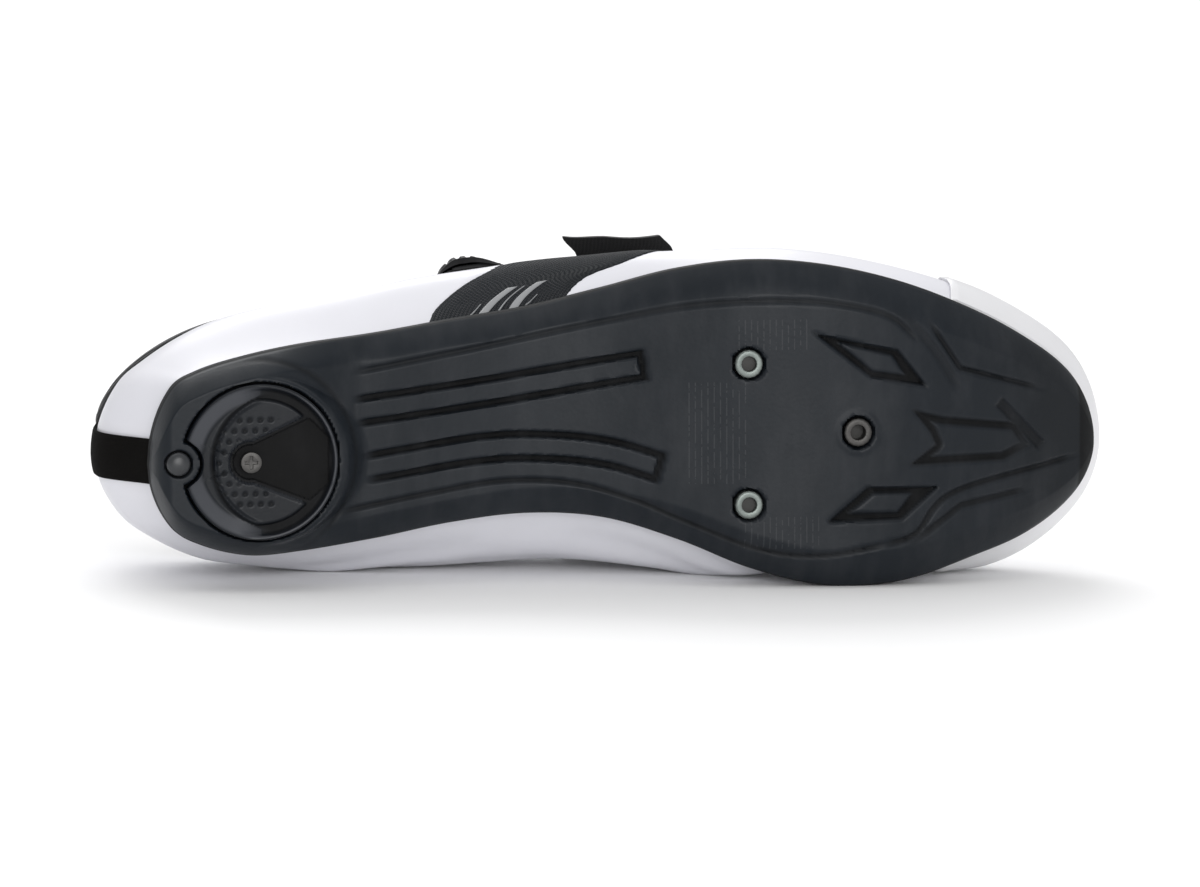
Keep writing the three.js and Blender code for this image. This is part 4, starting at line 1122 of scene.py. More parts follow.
def tick_marks(tree: Tree) -> Socket:
    """Rows of fine ticks round the inserts, on the plan in centimetres."""
    place, along, across = map_places(tree)
    turned = times(tree, along, TICK_PITCH)
    wave = maths(tree, "ABSOLUTE", maths(tree, "SINE", turned, 0), 0)
    line = maths(tree, "GREATER_THAN", wave, TICK_LEVEL)
    total: object = 0.0
    for bounds in TICK_FIELDS:
        within = []
        for value, low, high in ((along, *bounds[:2]), (across, *bounds[2:])):
            near = maths(tree, "COMPARE", value, (low + high) / 2)
            near.node.inputs[2].default_value = (high - low) / 2
            within.append(near)
        total = maths(tree, "MAXIMUM", total, times(tree, *within))
    broken = node(tree, "ShaderNodeTexNoise", Scale=6.0, Detail=2.0)
    tree.links.new(place, broken.inputs["Vector"])
    held = maths(tree, "GREATER_THAN", broken.outputs["Fac"], 0.45)
    return times(tree, times(tree, line, total), held)


@dataclass
class Groups:
    """Effects that several materials share."""

    grain: Tree = field(default_factory=grain_group)
    weave: Tree = field(default_factory=weave_group)
    dust: Tree = field(default_factory=dust_group)


@dataclass(frozen=True)
class Finish:
    """A material: its colours, gloss and texture, with the shade and highlight painted from an
    attribute. Colours are linear.
    """

    name: str
    base: tuple[float, float, float]
    second: tuple[float, float, float]
    roughness: float
    roughness_range: float = 0.12
    pattern: Pattern = Pattern.GRAIN
    scale: float = 2200.0
    broad: float = 40.0
    bump: float = 0.1
    bump_depth: float = 0.0001
    metallic: float = 0.0
    coat: float = 0.0
    sheen: float = 0.0
    dust: float = 0.0
    dust_colour: tuple[float, float, float] = (0.3, 0.3, 0.3)
    threads: float = 60.0
    lean: float = 0.0
    # attribute of painted shade, above 0 towards dark, and painted highlight, below 0 towards pale;
    # dark also colours the low parts of a weave
    painted_light_note: str = ""
    dark: tuple[float, float, float] = (0.004, 0.004, 0.005)
    pale: tuple[float, float, float] = (0.055, 0.058, 0.066)
    specular: float = 0.5
    ticks: bool = False

    def build(self, groups: Groups) -> Material:
        """Makes the node material.

        Args:
            groups: the shared effects.

        Returns:
            The material.
        """
        material = bpy.data.materials.new(self.name)
        material.use_nodes = True
        tree = material.node_tree
        tree.nodes.clear()
        out = tree.nodes.new("ShaderNodeOutputMaterial")
        skin = tree.nodes.new("ShaderNodeBsdfPrincipled")
        tree.links.new(skin.outputs[0], out.inputs[0])
        skin.inputs["Metallic"].default_value = self.metallic
        skin.inputs["Coat Weight"].default_value = self.coat
        skin.inputs["Coat Roughness"].default_value = 0.25
        skin.inputs["Sheen Weight"].default_value = self.sheen
        skin.inputs["Specular IOR Level"].default_value = self.specular
        grain = effect(tree, groups.grain, Scale=self.scale, Broad=self.broad)
        height = grain.outputs["Height"]
        colour = blend(tree, grain.outputs["Mottle"], self.base, self.second)
        if self.pattern is Pattern.WEAVE:
            weave = effect(tree, groups.weave, Threads=self.threads, Lean=self.lean)
            height = plus(tree, weave.outputs["Height"], times(tree, height, 0.15))
            colour = blend(tree, weave.outputs["Height"], self.dark, colour)
        spread = times(tree, grain.outputs["Mottle"], self.roughness_range)
        rough = plus(tree, self.roughness - self.roughness_range / 2, spread)
        if self.ticks:
            marks = tick_marks(tree)
            height = plus(tree, height, times(tree, marks, 2.2))
            colour = blend(tree, times(tree, marks, 0.22), colour, TICK_COLOUR)
        # painted shade and painted highlight from the attribute
        if self.painted_light_note:
            kept = node(tree, "ShaderNodeAttribute", attribute_name=self.painted_light_note)
            colour = blend(tree, kept.outputs["Fac"], colour, self.dark)
            shine = maths(tree, "MAXIMUM", times(tree, kept.outputs["Fac"], -1.0), 0.0)
            colour = blend(tree, shine, colour, self.pale)
            deep = maths(tree, "MAXIMUM", kept.outputs["Fac"], 0.0)
            rough = plus(tree, rough, times(tree, deep, 0.4))
        if self.dust:
            dust = effect(tree, groups.dust, Amount=self.dust)
            colour = blend(tree, dust.outputs["Mask"], colour, self.dust_colour)
            rough = plus(tree, rough, times(tree, dust.outputs["Mask"], 0.3))
        bump = node(tree, "ShaderNodeBump", Strength=self.bump, Distance=self.bump_depth)
        tree.links.new(height, bump.inputs["Height"])
        tree.links.new(colour, skin.inputs["Base Color"])
        tree.links.new(rough, skin.inputs["Roughness"])
        tree.links.new(bump.outputs[0], skin.inputs["Normal"])
        return material


# its attribute paints shade in the sole's grooves and recesses and highlight on the lip
COMPOSITE = Finish(
    "composite", (0.0042, 0.0066, 0.0098), (0.0092, 0.0125, 0.0172), 0.38, specular=0.22,
    roughness_range=0.16, scale=900.0, broad=45.0, bump=0.16, bump_depth=0.00012, dust=0.2,
    dust_colour=(0.07, 0.072, 0.078), painted_light_note="dark", dark=(0.0008, 0.001, 0.0013), ticks=True,
)
# its attribute paints shade in the pad's hollows and highlight on its crescent and rim
PAD_RUBBER = Finish(
    "pad_rubber", (0.0035, 0.0048, 0.0072), (0.0068, 0.0088, 0.012), 0.3, specular=0.2,
    scale=1200.0, bump=0.12, bump_depth=0.00008, dust=0.15, dust_colour=(0.05, 0.05, 0.055),
    painted_light_note="dark", dark=(0.0008, 0.0008, 0.001),
)
RIVET_PLASTIC = Finish(
    "rivet_plastic", (0.016, 0.018, 0.021), (0.024, 0.026, 0.029), 0.34, bump=0.05,
)
# its attribute paints shade in the stitched groove
WHITE_SKIN = Finish(
    "white_skin", (0.66, 0.66, 0.705), (0.71, 0.71, 0.755), 0.4, scale=2600.0,
    broad=22.0, bump=0.14, bump_depth=0.00006, coat=0.12, dust=0.05, dust_colour=(0.55, 0.53, 0.5),
    painted_light_note="seam_groove_shade", dark=(0.38, 0.38, 0.41),
)
WHITE_CAP = Finish(
    "white_cap", (0.68, 0.68, 0.7), (0.73, 0.73, 0.745), 0.34, broad=30.0, bump=0.12,
    bump_depth=0.00006, coat=0.2, dust=0.06, dust_colour=(0.5, 0.48, 0.45),
)
WHITE_THREAD = Finish(
    "white_thread", (0.55, 0.55, 0.585), (0.62, 0.62, 0.65), 0.6, scale=5200.0, bump=0.3,
)
SIDE_MESH = Finish(
    "side_mesh", (0.0068, 0.0096, 0.0135), (0.0135, 0.018, 0.024), 0.72, specular=0.25,
    pattern=Pattern.WEAVE, bump=0.8, bump_depth=0.00035, sheen=0.05, threads=44.0, lean=1.0,
    dark=(0.0025, 0.0025, 0.003),
)
GREY_PRINT = Finish(
    "grey_print", (0.2, 0.205, 0.215), (0.27, 0.275, 0.285), 0.35, bump=0.05, coat=0.15,
)
STRAP_WEAVE = Finish(
    "strap_weave", (0.006, 0.006, 0.0065), (0.012, 0.012, 0.013), 0.66, specular=0.2,
    pattern=Pattern.WEAVE, bump=0.6, bump_depth=0.0002, sheen=0.2, threads=62.0,
    dark=(0.002, 0.002, 0.0025),
)
BUCKLE_PLASTIC = Finish(
    "buckle_plastic", (0.004, 0.004, 0.005), (0.008, 0.008, 0.009), 0.5, specular=0.14,
    scale=1500.0, bump=0.12, dust=0.1,
)
TAPE = Finish(
    "toothed_tape", (0.006, 0.006, 0.007), (0.011, 0.011, 0.012), 0.42, specular=0.3, scale=900.0,
    bump=0.1, dust=0.1,
)
LINING = Finish(
    "lining", (0.014, 0.014, 0.016), (0.028, 0.028, 0.03), 0.82, pattern=Pattern.WEAVE, bump=0.6,
    bump_depth=0.0003, sheen=0.25, threads=44.0, dark=(0.003, 0.003, 0.0035),
)
HEEL_TAPE = Finish(
    "heel_tape", (0.0032, 0.0027, 0.0023), (0.006, 0.0053, 0.0046), 0.85, specular=0.06,
    pattern=Pattern.WEAVE, bump=0.5, bump_depth=0.00015, threads=70.0, dark=(0.002, 0.002, 0.002),
)
FOOTBED = Finish(
    "footbed", (0.02, 0.021, 0.024), (0.035, 0.036, 0.04), 0.85, scale=700.0, bump=0.5, sheen=0.2,
)
ZINC = Finish(
    "zinc", (0.1, 0.115, 0.11), (0.22, 0.245, 0.23), 0.36, scale=1800.0, broad=160.0, bump=0.1,
    metallic=0.9,
)
DULL_STEEL = Finish(
    "dull_steel", (0.035, 0.035, 0.035), (0.09, 0.086, 0.082), 0.4, scale=1800.0, broad=260.0,
    bump=0.2, metallic=0.9,
)
BORE_FLOOR = Finish(
    "bore_floor", (0.035, 0.035, 0.034), (0.07, 0.068, 0.064), 0.7, scale=1500.0, bump=0.2,
)


@dataclass
class Workshop:
    """What every sub-assembly needs: the forms, the frame and the materials."""

    shoe: ShoeFrame
    sole: SoleForm
    wall: WallForm
    groups: Groups
    made: dict[str, Material] = field(default_factory=dict)

    def material(self, finish: Finish) -> Material:
        """Material of a finish, built once."""
        if finish.name not in self.made:
            self.made[finish.name] = finish.build(self.groups)
        return self.made[finish.name]

    def loft(self, name: str, rows: int, columns: int) -> Loft:
        """A grid to be laid on the shoe."""
        return Loft(self.shoe, name, rows, columns)

    def dress(
        self, obj: Obj, slot: Slot, finishes: Sequence[Finish], nodes: Sequence[str] = ()
    ) -> Obj:
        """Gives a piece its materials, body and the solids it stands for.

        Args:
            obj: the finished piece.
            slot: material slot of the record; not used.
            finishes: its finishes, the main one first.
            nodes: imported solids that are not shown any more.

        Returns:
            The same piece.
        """
        faces = obj.data.polygons
        kinds = np.empty(len(faces), dtype=np.int32)
        faces.foreach_get("material_index", kinds)
        obj.data.materials.clear()
        for finish in finishes:
            obj.data.materials.append(self.material(finish))
        faces.foreach_set("material_index", np.minimum(kinds, len(finishes) - 1))
        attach(obj, "root")
        if nodes:
            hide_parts(*nodes)
        logger.info("%s: %d faces", obj.name, len(faces))
        return obj


@dataclass
class Sole:
    """Outsole with its relief, and the fittings set in it."""

    shop: Workshop
    relief: SoleRelief = field(default_factory=SoleRelief)
    rows: int = 440
    across: int = 134
    edge_round: float = 0.45
    corner: float = 0.12
    wall_rises: tuple[float, ...] = (3.5, 2.3, 1.1, 0.45)
    top_steps: int = 14
    # painted shade over the side walls and top of the sole
    wall_shade: float = 0.8
    insert_radius: float = 4.0
    bore_depth: float = 3.4
    floor_radius: float = 2.4
    floor_thickness: float = 0.4
    insert_places: tuple = ((166.6, -23.5), (166.6, 15.7), (197.1, -3.9))
    pad_at: float = PAD_AT
    pad_radius: float = PAD_RADIUS
    rivet_at: float = RIVET_AT
    rivet_radius: float = 3.3
    rivet_bite: float = RIVET_BITE
    nose_ridge: float = 0.55
    ridge_radius: float = 25.2
    ridge_width: float = 1.1
    groove_radius: float = 27.6
    groove_width: float = 0.8
    groove_depth: float = 0.35
    # painted shade in the groove round the heel block's nose
    groove_shade: float = 0.5
    pocket_depth: float = 3.0
    rivet_seat: float = 1.4
    insert_seat: float = 3.2
    # painted shade in the ring round each insert
    insert_shade: float = 0.45
    insert_lip: float = 0.25
    lip_height: float = 0.6
    # painted highlight along the lip in front of the pad
    lip_shine: float = 0.45
    tip_at: float = 264.5
    tip_axis: float = 1.1
    tip_half: float = 17.0
    # painted shade at the toe's tip
    tip_shade: float = 0.9

    def sunk(self, x: Array, y: Array) -> Relief:
        """Relief together with the pockets of the pad, the rivet and the inserts, the shade painted
        into them and the highlight painted on the lip.
        """
        shapes = self.relief.at(x, y)
        depth, dark = shapes.depth, shapes.dark
        pad = np.maximum(
            np.hypot(x - self.pad_at, y) - self.pad_radius,
            self.rivet_bite - np.hypot(x - self.rivet_at, y),
        )
        pocket = smooth(0.75, 0.15, pad)
        lip = smooth(2.0, 1.3, pad) * smooth(0.5, 0.9, pad) * smooth(14.0, 24.0, x + 0.3 * y)
        depth = np.maximum(depth, self.pocket_depth * pocket) - self.lip_height * lip
        # painted shade in the pad's pocket, painted highlight on its lip
        dark = np.maximum(dark, pocket) - self.lip_shine * lip
        out = np.hypot(x - self.pad_at, y)
        nose = smooth(self.pad_at - 2, self.pad_at + 14, x - 0.5 * y)
        ridge = np.exp(-(((out - self.ridge_radius) / self.ridge_width) ** 2)) * nose
        groove = np.exp(-(((out - self.groove_radius) / self.groove_width) ** 2)) * nose
        depth = depth - self.nose_ridge * ridge + self.groove_depth * groove
        # painted shade in the nose's groove
        dark = np.maximum(dark, self.groove_shade * groove)
        rivet = np.hypot(x - self.rivet_at, y) - self.rivet_radius
        depth = np.maximum(depth, self.rivet_seat * smooth(0.7, 0.2, rivet))
        # painted shade in the gap round the rivet
        dark = np.maximum(dark, smooth(0.8, 0.3, rivet))
        for place in self.insert_places:
            ring = np.hypot(x - place[0], y - place[1]) - self.insert_radius
            depth = np.maximum(depth, self.insert_seat * smooth(0.65, 0.1, ring))
            # painted shade in the gap round the insert
            dark = np.maximum(dark, self.insert_shade * smooth(0.9, 0.3, ring))
            depth = depth - self.insert_lip * smooth(2.6, 1.6, ring) * smooth(0.4, 0.9, ring)
        return Relief(depth, dark)

    @staticmethod
    def along(share: Array) -> Array:
        """Places along the sole, closer together at both ends."""
        return SOLE_LENGTH * mix(share, share_of(math.pi * share), 0.35)

    def columns(self) -> tuple[Array, Array, Array, Array]:
        """Columns round a section: kind, share across, inset and rise."""
        wall, corner = self.wall_rises, self.corner
        rows = [(0, 0.0, 0.0, rise) for rise in wall] + [(0, 0.0, corner, corner)]
        rows += [(1, share, self.edge_round, 0.0) for share in np.linspace(0, 1, self.across)]
        rows += [(0, 1.0, corner, corner)] + [(0, 1.0, 0.0, rise) for rise in reversed(wall)]
        rows += [(2, share, 0.0, 0.0) for share in np.linspace(1, 0, self.top_steps)[1:-1]]
        rows += [(0, 0.0, 0.0, wall[0])]
        kinds = np.array(rows, dtype=float).T
        return kinds[0].astype(int), kinds[1], kinds[2], kinds[3]

    def build(self) -> Obj:
        """Models the outsole as one closed skin.

        Returns:
            The outsole.
        """
        form = self.shop.sole
        kind, share, inset, rise = self.columns()
        count = len(kind) - 1
        # painted shade and painted highlight at each corner
        darkness: list[Array] = []

        def surface(u: Array, v: Array) -> Array:
            """Points round the sections from heel to toe."""
            i = np.rint(v * count).astype(int)
            x = self.along(u)
            s = form.section(x)
            width = np.maximum(s.medial - s.lateral, 0)
            spare = np.minimum(inset[i], 0.2 * width)
            y = mix(s.lateral + spare, s.medial - spare, share[i])
            under = kind[i] == 1
            shapes = self.sunk(x, y)
            inward = np.minimum(y - s.lateral, s.medial - y)
            held = smooth(0.3, 1.5, inward) * smooth(1.0, 4.0, np.minimum(x, SOLE_LENGTH - x))
            low = form.bottom(x, y) + shapes.depth * held
            z = np.where(under, low, np.where(kind[i] == 0, s.edge + rise[i], form.top(x, y)))
            # painted shade at the toe's tip, and on the side walls and top
            tip = smooth(self.tip_at, self.tip_at + 1.1, x)
            tip *= smooth(self.tip_half + 7, self.tip_half, np.abs(y - self.tip_axis))
            shade = np.maximum(shapes.dark * held, self.tip_shade * tip)
            darkness.append(np.where(under, shade, self.wall_shade))
            return stack(x, y, z)

        def plan(u: Array, v: Array) -> Array:
            """Plan of the sole in centimetres."""
            i = np.rint(v * count).astype(int)
            x = self.along(u)
            s = form.section(x)
            return stack(x, mix(s.lateral, s.medial, share[i])) / 10

        obj = self.shop.loft("sole_skin", self.rows, count).lay(surface, plan)
        # painted shade and highlight for the material
        note(obj, "dark", darkness[0])
        settle(obj, 60, 5e-6)
        return self.shop.dress(obj, Slot.SOLE, [COMPOSITE], ["outsole"])

    def fittings(self) -> None:
        """Finishes the inserts, the screw and the rivet with rounded edges."""
        for solid, name, slot, finish, width in (
            ("cleat_insert_rear_lateral", "insert_lateral", Slot.ZINC, ZINC, 0.25),
            ("cleat_insert_rear_medial", "insert_medial", Slot.ZINC, ZINC, 0.25),
            ("cleat_insert_front", "insert_front", Slot.STEEL, DULL_STEEL, 0.25),
            ("heel_pad_screw", "pad_screw", Slot.STEEL, DULL_STEEL, 0.12),
            ("heel_rivet", "rivet_head", Slot.SOLE, RIVET_PLASTIC, 0.3),
        ):
            obj = copy_of(solid, name)
            round_edges(obj, width, 0.6)
            soften(obj, 40)
            self.shop.dress(obj, slot, [finish], [solid])
        for k, place in enumerate(self.insert_places):
            self.bore_floor(f"bore_floor_{k}", place)

    def bore_floor(self, name: str, place: tuple) -> Obj:
        """Dull disc at the bottom of an insert's hole."""
        deselect()
        size = {"radius": self.floor_radius * MM, "depth": self.floor_thickness * MM}
        bpy.ops.mesh.primitive_cylinder_add(vertices=40, **size)
        obj = bpy.context.object
        obj.name = obj.data.name = name
        centre = Vector((place[0], place[1], self.bore_depth))
        obj.data.transform(self.shop.shoe.matrix.to_3x3().normalized().to_4x4())
        obj.data.transform(Matrix.Translation(self.shop.shoe.matrix @ centre))
        soften(obj, 40)
        return self.shop.dress(obj, Slot.STEEL, [BORE_FLOOR])


@dataclass
class HeelPad:
    """Replaceable pad under the heel, with the bite that clears the rivet."""

    shop: Workshop
    relief: PadRelief = field(default_factory=PadRelief)
    height: float = 4.2
    proud: float = 1.0
    rivet_at: float = RIVET_AT
    bite: float = RIVET_BITE
    edge_round: float = 0.6
    around: int = 220
    rings: int = 64
    wall_rings: int = 5

    def reach(self, angle: Array) -> Array:
        """Radius of the outline in a direction from the pad's middle."""
        apart = self.relief.pad_at - self.rivet_at
        inside = self.bite**2 - (apart * np.sin(angle)) ** 2
        near = -apart * np.cos(angle) - np.sqrt(np.maximum(inside, 0))
        bitten = (inside > 0) & (np.cos(angle) < 0)
        return np.minimum(np.where(bitten, near, self.relief.radius), self.relief.radius)

    def build(self) -> Obj:
        """Models the pad as rings from the middle of its face, over the edge, to its back.

        Returns:
            The pad.
        """
        face, soft = self.rings, self.edge_round
        count = face + self.wall_rings + 1
        darkness: list[Array] = []

        def surface(u: Array, v: Array) -> Array:
            """Points of the rings."""
            i = np.rint(v * count).astype(int)
            angle = 2 * math.pi * u
            full = self.reach(angle)
            edge = np.clip((i - face) / 3, 0, 1) * math.pi / 2
            over = full - soft + soft * np.sin(edge)
            radius = np.where(i <= face, (full - soft) * i / face, over)
            radius = np.where(i == count, 0, radius)
            x = self.relief.pad_at + radius * np.cos(angle)
            y = radius * np.sin(angle)
            shapes = self.relief.at(x, y)
            low = -self.proud
            z = low + np.where(i <= face, shapes.depth, soft * (1 - np.cos(edge)))
            z = np.where(i > face + 3, low + self.height, z)
            # painted shade and painted highlight of the pad's face
            darkness.append(np.where(i <= face, shapes.dark, 0))
            return stack(x, y, z)

        obj = self.shop.loft("pad_skin", self.around, count).lay(surface)
        note(obj, "dark", darkness[0])
        settle(obj, 40, 5e-6)
        return self.shop.dress(obj, Slot.PAD, [PAD_RUBBER], ["heel_pad"])


@dataclass(frozen=True)
class Crease:
    """A soft trough in the upper: its line of turns in degrees and ways up, width and depth."""

    side: int
    line: tuple
    width: float
    depth: float


@dataclass
class Upper:
    """Hollow upper: flange under the foot, wall, creases, seams with painted shade in their groove
    and the pocket of the mesh.
    """

    shop: Workshop
    wall_thickness: float = 2.0
    edge_round: float = 0.5
    margin: float = 8.0
    around: int = 420
    flange_steps: int = 5
    wall_steps: int = 84
    pocket_depth: float = 0.9
    tape_height: float = 0.35
    billow: float = 0.25
    groove_depth: float = 0.3
    # painted shade in the stitched groove below the tape
    seam_shade: float = 0.35
    height_scale: float = 88.0
    girth: float = 640.0
    creases: tuple[Crease, ...] = (
        Crease(MEDIAL, ((52, 0.3), (62, 0.22), (74, 0.2)), 5.5, 0.7),
        Crease(MEDIAL, ((60, 0.42), (72, 0.34), (86, 0.36)), 7.0, 0.8),
        Crease(MEDIAL, ((84, 0.16), (94, 0.22), (104, 0.34)), 6.0, 0.7),
        Crease(MEDIAL, ((98, 0.1), (106, 0.2), (112, 0.36)), 5.0, 0.6),
        Crease(MEDIAL, ((108, 0.62), (112, 0.8), (113, 0.96)), 6.0, 0.7),
        Crease(MEDIAL, ((117, 0.5), (121, 0.72), (122, 0.95)), 5.0, 0.6),
        Crease(LATERAL, ((114, 0.55), (118, 0.75), (119, 0.95)), 5.0, 0.5),
        Crease(LATERAL, ((126, 0.36), (128, 0.6), (127, 0.9)), 5.0, 0.6),
        Crease(MEDIAL, ((128, 0.36), (130, 0.6), (129, 0.9)), 5.0, 0.6),
        Crease(LATERAL, ((44, 0.5), (56, 0.42), (66, 0.46)), 8.0, 0.6),
        Crease(LATERAL, ((26, 0.75), (36, 0.7), (46, 0.76)), 6.0, 0.5),
        Crease(MEDIAL, ((24, 0.72), (36, 0.66), (48, 0.72)), 6.0, 0.6),
    )

    def plan(self, around: Array, up: Array) -> tuple[Array, Array, Array]:
        """Side, length and height of places on the wall, in millimetres."""
        turn, outer = folded(around)
        side = np.where(outer, LATERAL, MEDIAL)
        return side, SOLE_LENGTH * share_of(turn), up * self.height_scale

    def offset(self, around: Array, up: Array) -> Array:
        """Height of the white skin over the plain form."""
        side, along, high = self.plan(around, up)
        out = np.zeros(around.shape)
        for crease in self.creases:
            turns, ups = np.array(crease.line, dtype=float).T
            lengths = SOLE_LENGTH * share_of(np.radians(turns))
            line = curved(stack(lengths, ups * self.height_scale))
            distance, way, length = to_line(line, along, high)
            fade = smooth(-6, 8, way) * smooth(length + 6, length - 8, way)
            trough = np.exp(-((distance / crease.width) ** 2))
            shoulder = np.exp(-(((distance - 1.9 * crease.width) / (1.1 * crease.width)) ** 2))
            held = (side == crease.side) * fade
            out += held * (0.3 * shoulder - trough) * crease.depth
        billow = np.sin(along / 13.0 + 0.8 * side) * np.sin(high / 17.0) * smooth(0.1, 0.3, up)
        out += self.billow * billow
        return out - self.pocket_depth * self.pocket(around, up) + self.tape(up)

    def pocket(self, around: Array, up: Array) -> Array:
        """Mask of the pocket under the side mesh."""
        x = self.shop.wall.face(around, up)[..., 0]
        back, front = mesh_span(up)
        inside = np.minimum(x - back, front - x)
        height = np.minimum(up - MESH_EDGES[0][0], MESH_EDGES[-1][0] - up) * self.height_scale
        return smooth(0.9, 2.1, np.minimum(inside, height)) * folded(around)[1]

    @staticmethod
    def groove(up: Array) -> Array:
        """Mask of the groove below the folded tape."""
        return smooth(0.905, 0.918, up) * smooth(0.937, 0.924, up)

    def tape(self, up: Array) -> Array:
        """Folded tape round the opening, a little proud, with a groove below it."""
        band = smooth(0.925, 0.94, up) * smooth(1.02, 0.985, up)
        return self.tape_height * band - self.groove_depth * self.groove(up)

    def build(self) -> Obj:
        """Models the upper as a sheet round the foot and gives it its wall.

        Returns:
            The upper.
        """
        wall, sole = self.shop.wall, self.shop.sole
        count = self.flange_steps + self.wall_steps
        seam_groove_shade: list[Array] = []

        def surface(u: Array, v: Array) -> Array:
            """Points from the flange, round the feather line, to the edge of the opening."""
            around = 2 * math.pi * u
            i = np.rint(v * count)
            under = i < self.flange_steps
            share = np.clip(1 - i / self.flange_steps, 0, 1)
            inset = wall.feather_inset + self.margin * share
            flat = sole.inset(around, inset)
            floor = sole.section(np.clip(flat[..., 0], 0, SOLE_LENGTH)).rim + wall.gap
            up = np.clip((i - self.flange_steps) / self.wall_steps, 0, 1)
            raised = self.offset(around, up) * smooth(0.0, 0.06, up)
            # painted shade in the groove below the tape
            seam_groove_shade.append(np.where(under, 0, self.groove(up)))
            below = np.concatenate([flat, floor[..., None]], axis=-1)
            return np.where(under[..., None], below, wall.skin(around, up, raised))

        def weave(u: Array, v: Array) -> Array:
            """Places on the wall in centimetres: round the shoe and up it."""
            return stack(u * self.girth, v * self.height_scale) / 10

        obj = self.shop.loft("upper_skin", self.around, count).lay(surface, weave)
        # painted shade for the white skin's material
        note(obj, "seam_groove_shade", self.seam_shade * seam_groove_shade[0])
        weld(obj, 5e-6)
        for _ in range(2):
            obj.data.materials.append(None)
        finish_with(
            obj,
            "SOLIDIFY",
            thickness=self.wall_thickness * MM,
            offset=-1.0,
            use_even_offset=True,
            material_offset=1,
            material_offset_rim=0,
        )
        face_outwards(obj)
        round_edges(obj, self.edge_round, 1.0)
        soften(obj, 50)
        return self.shop.dress(obj, Slot.WHITE, [WHITE_SKIN, LINING], ["upper"])


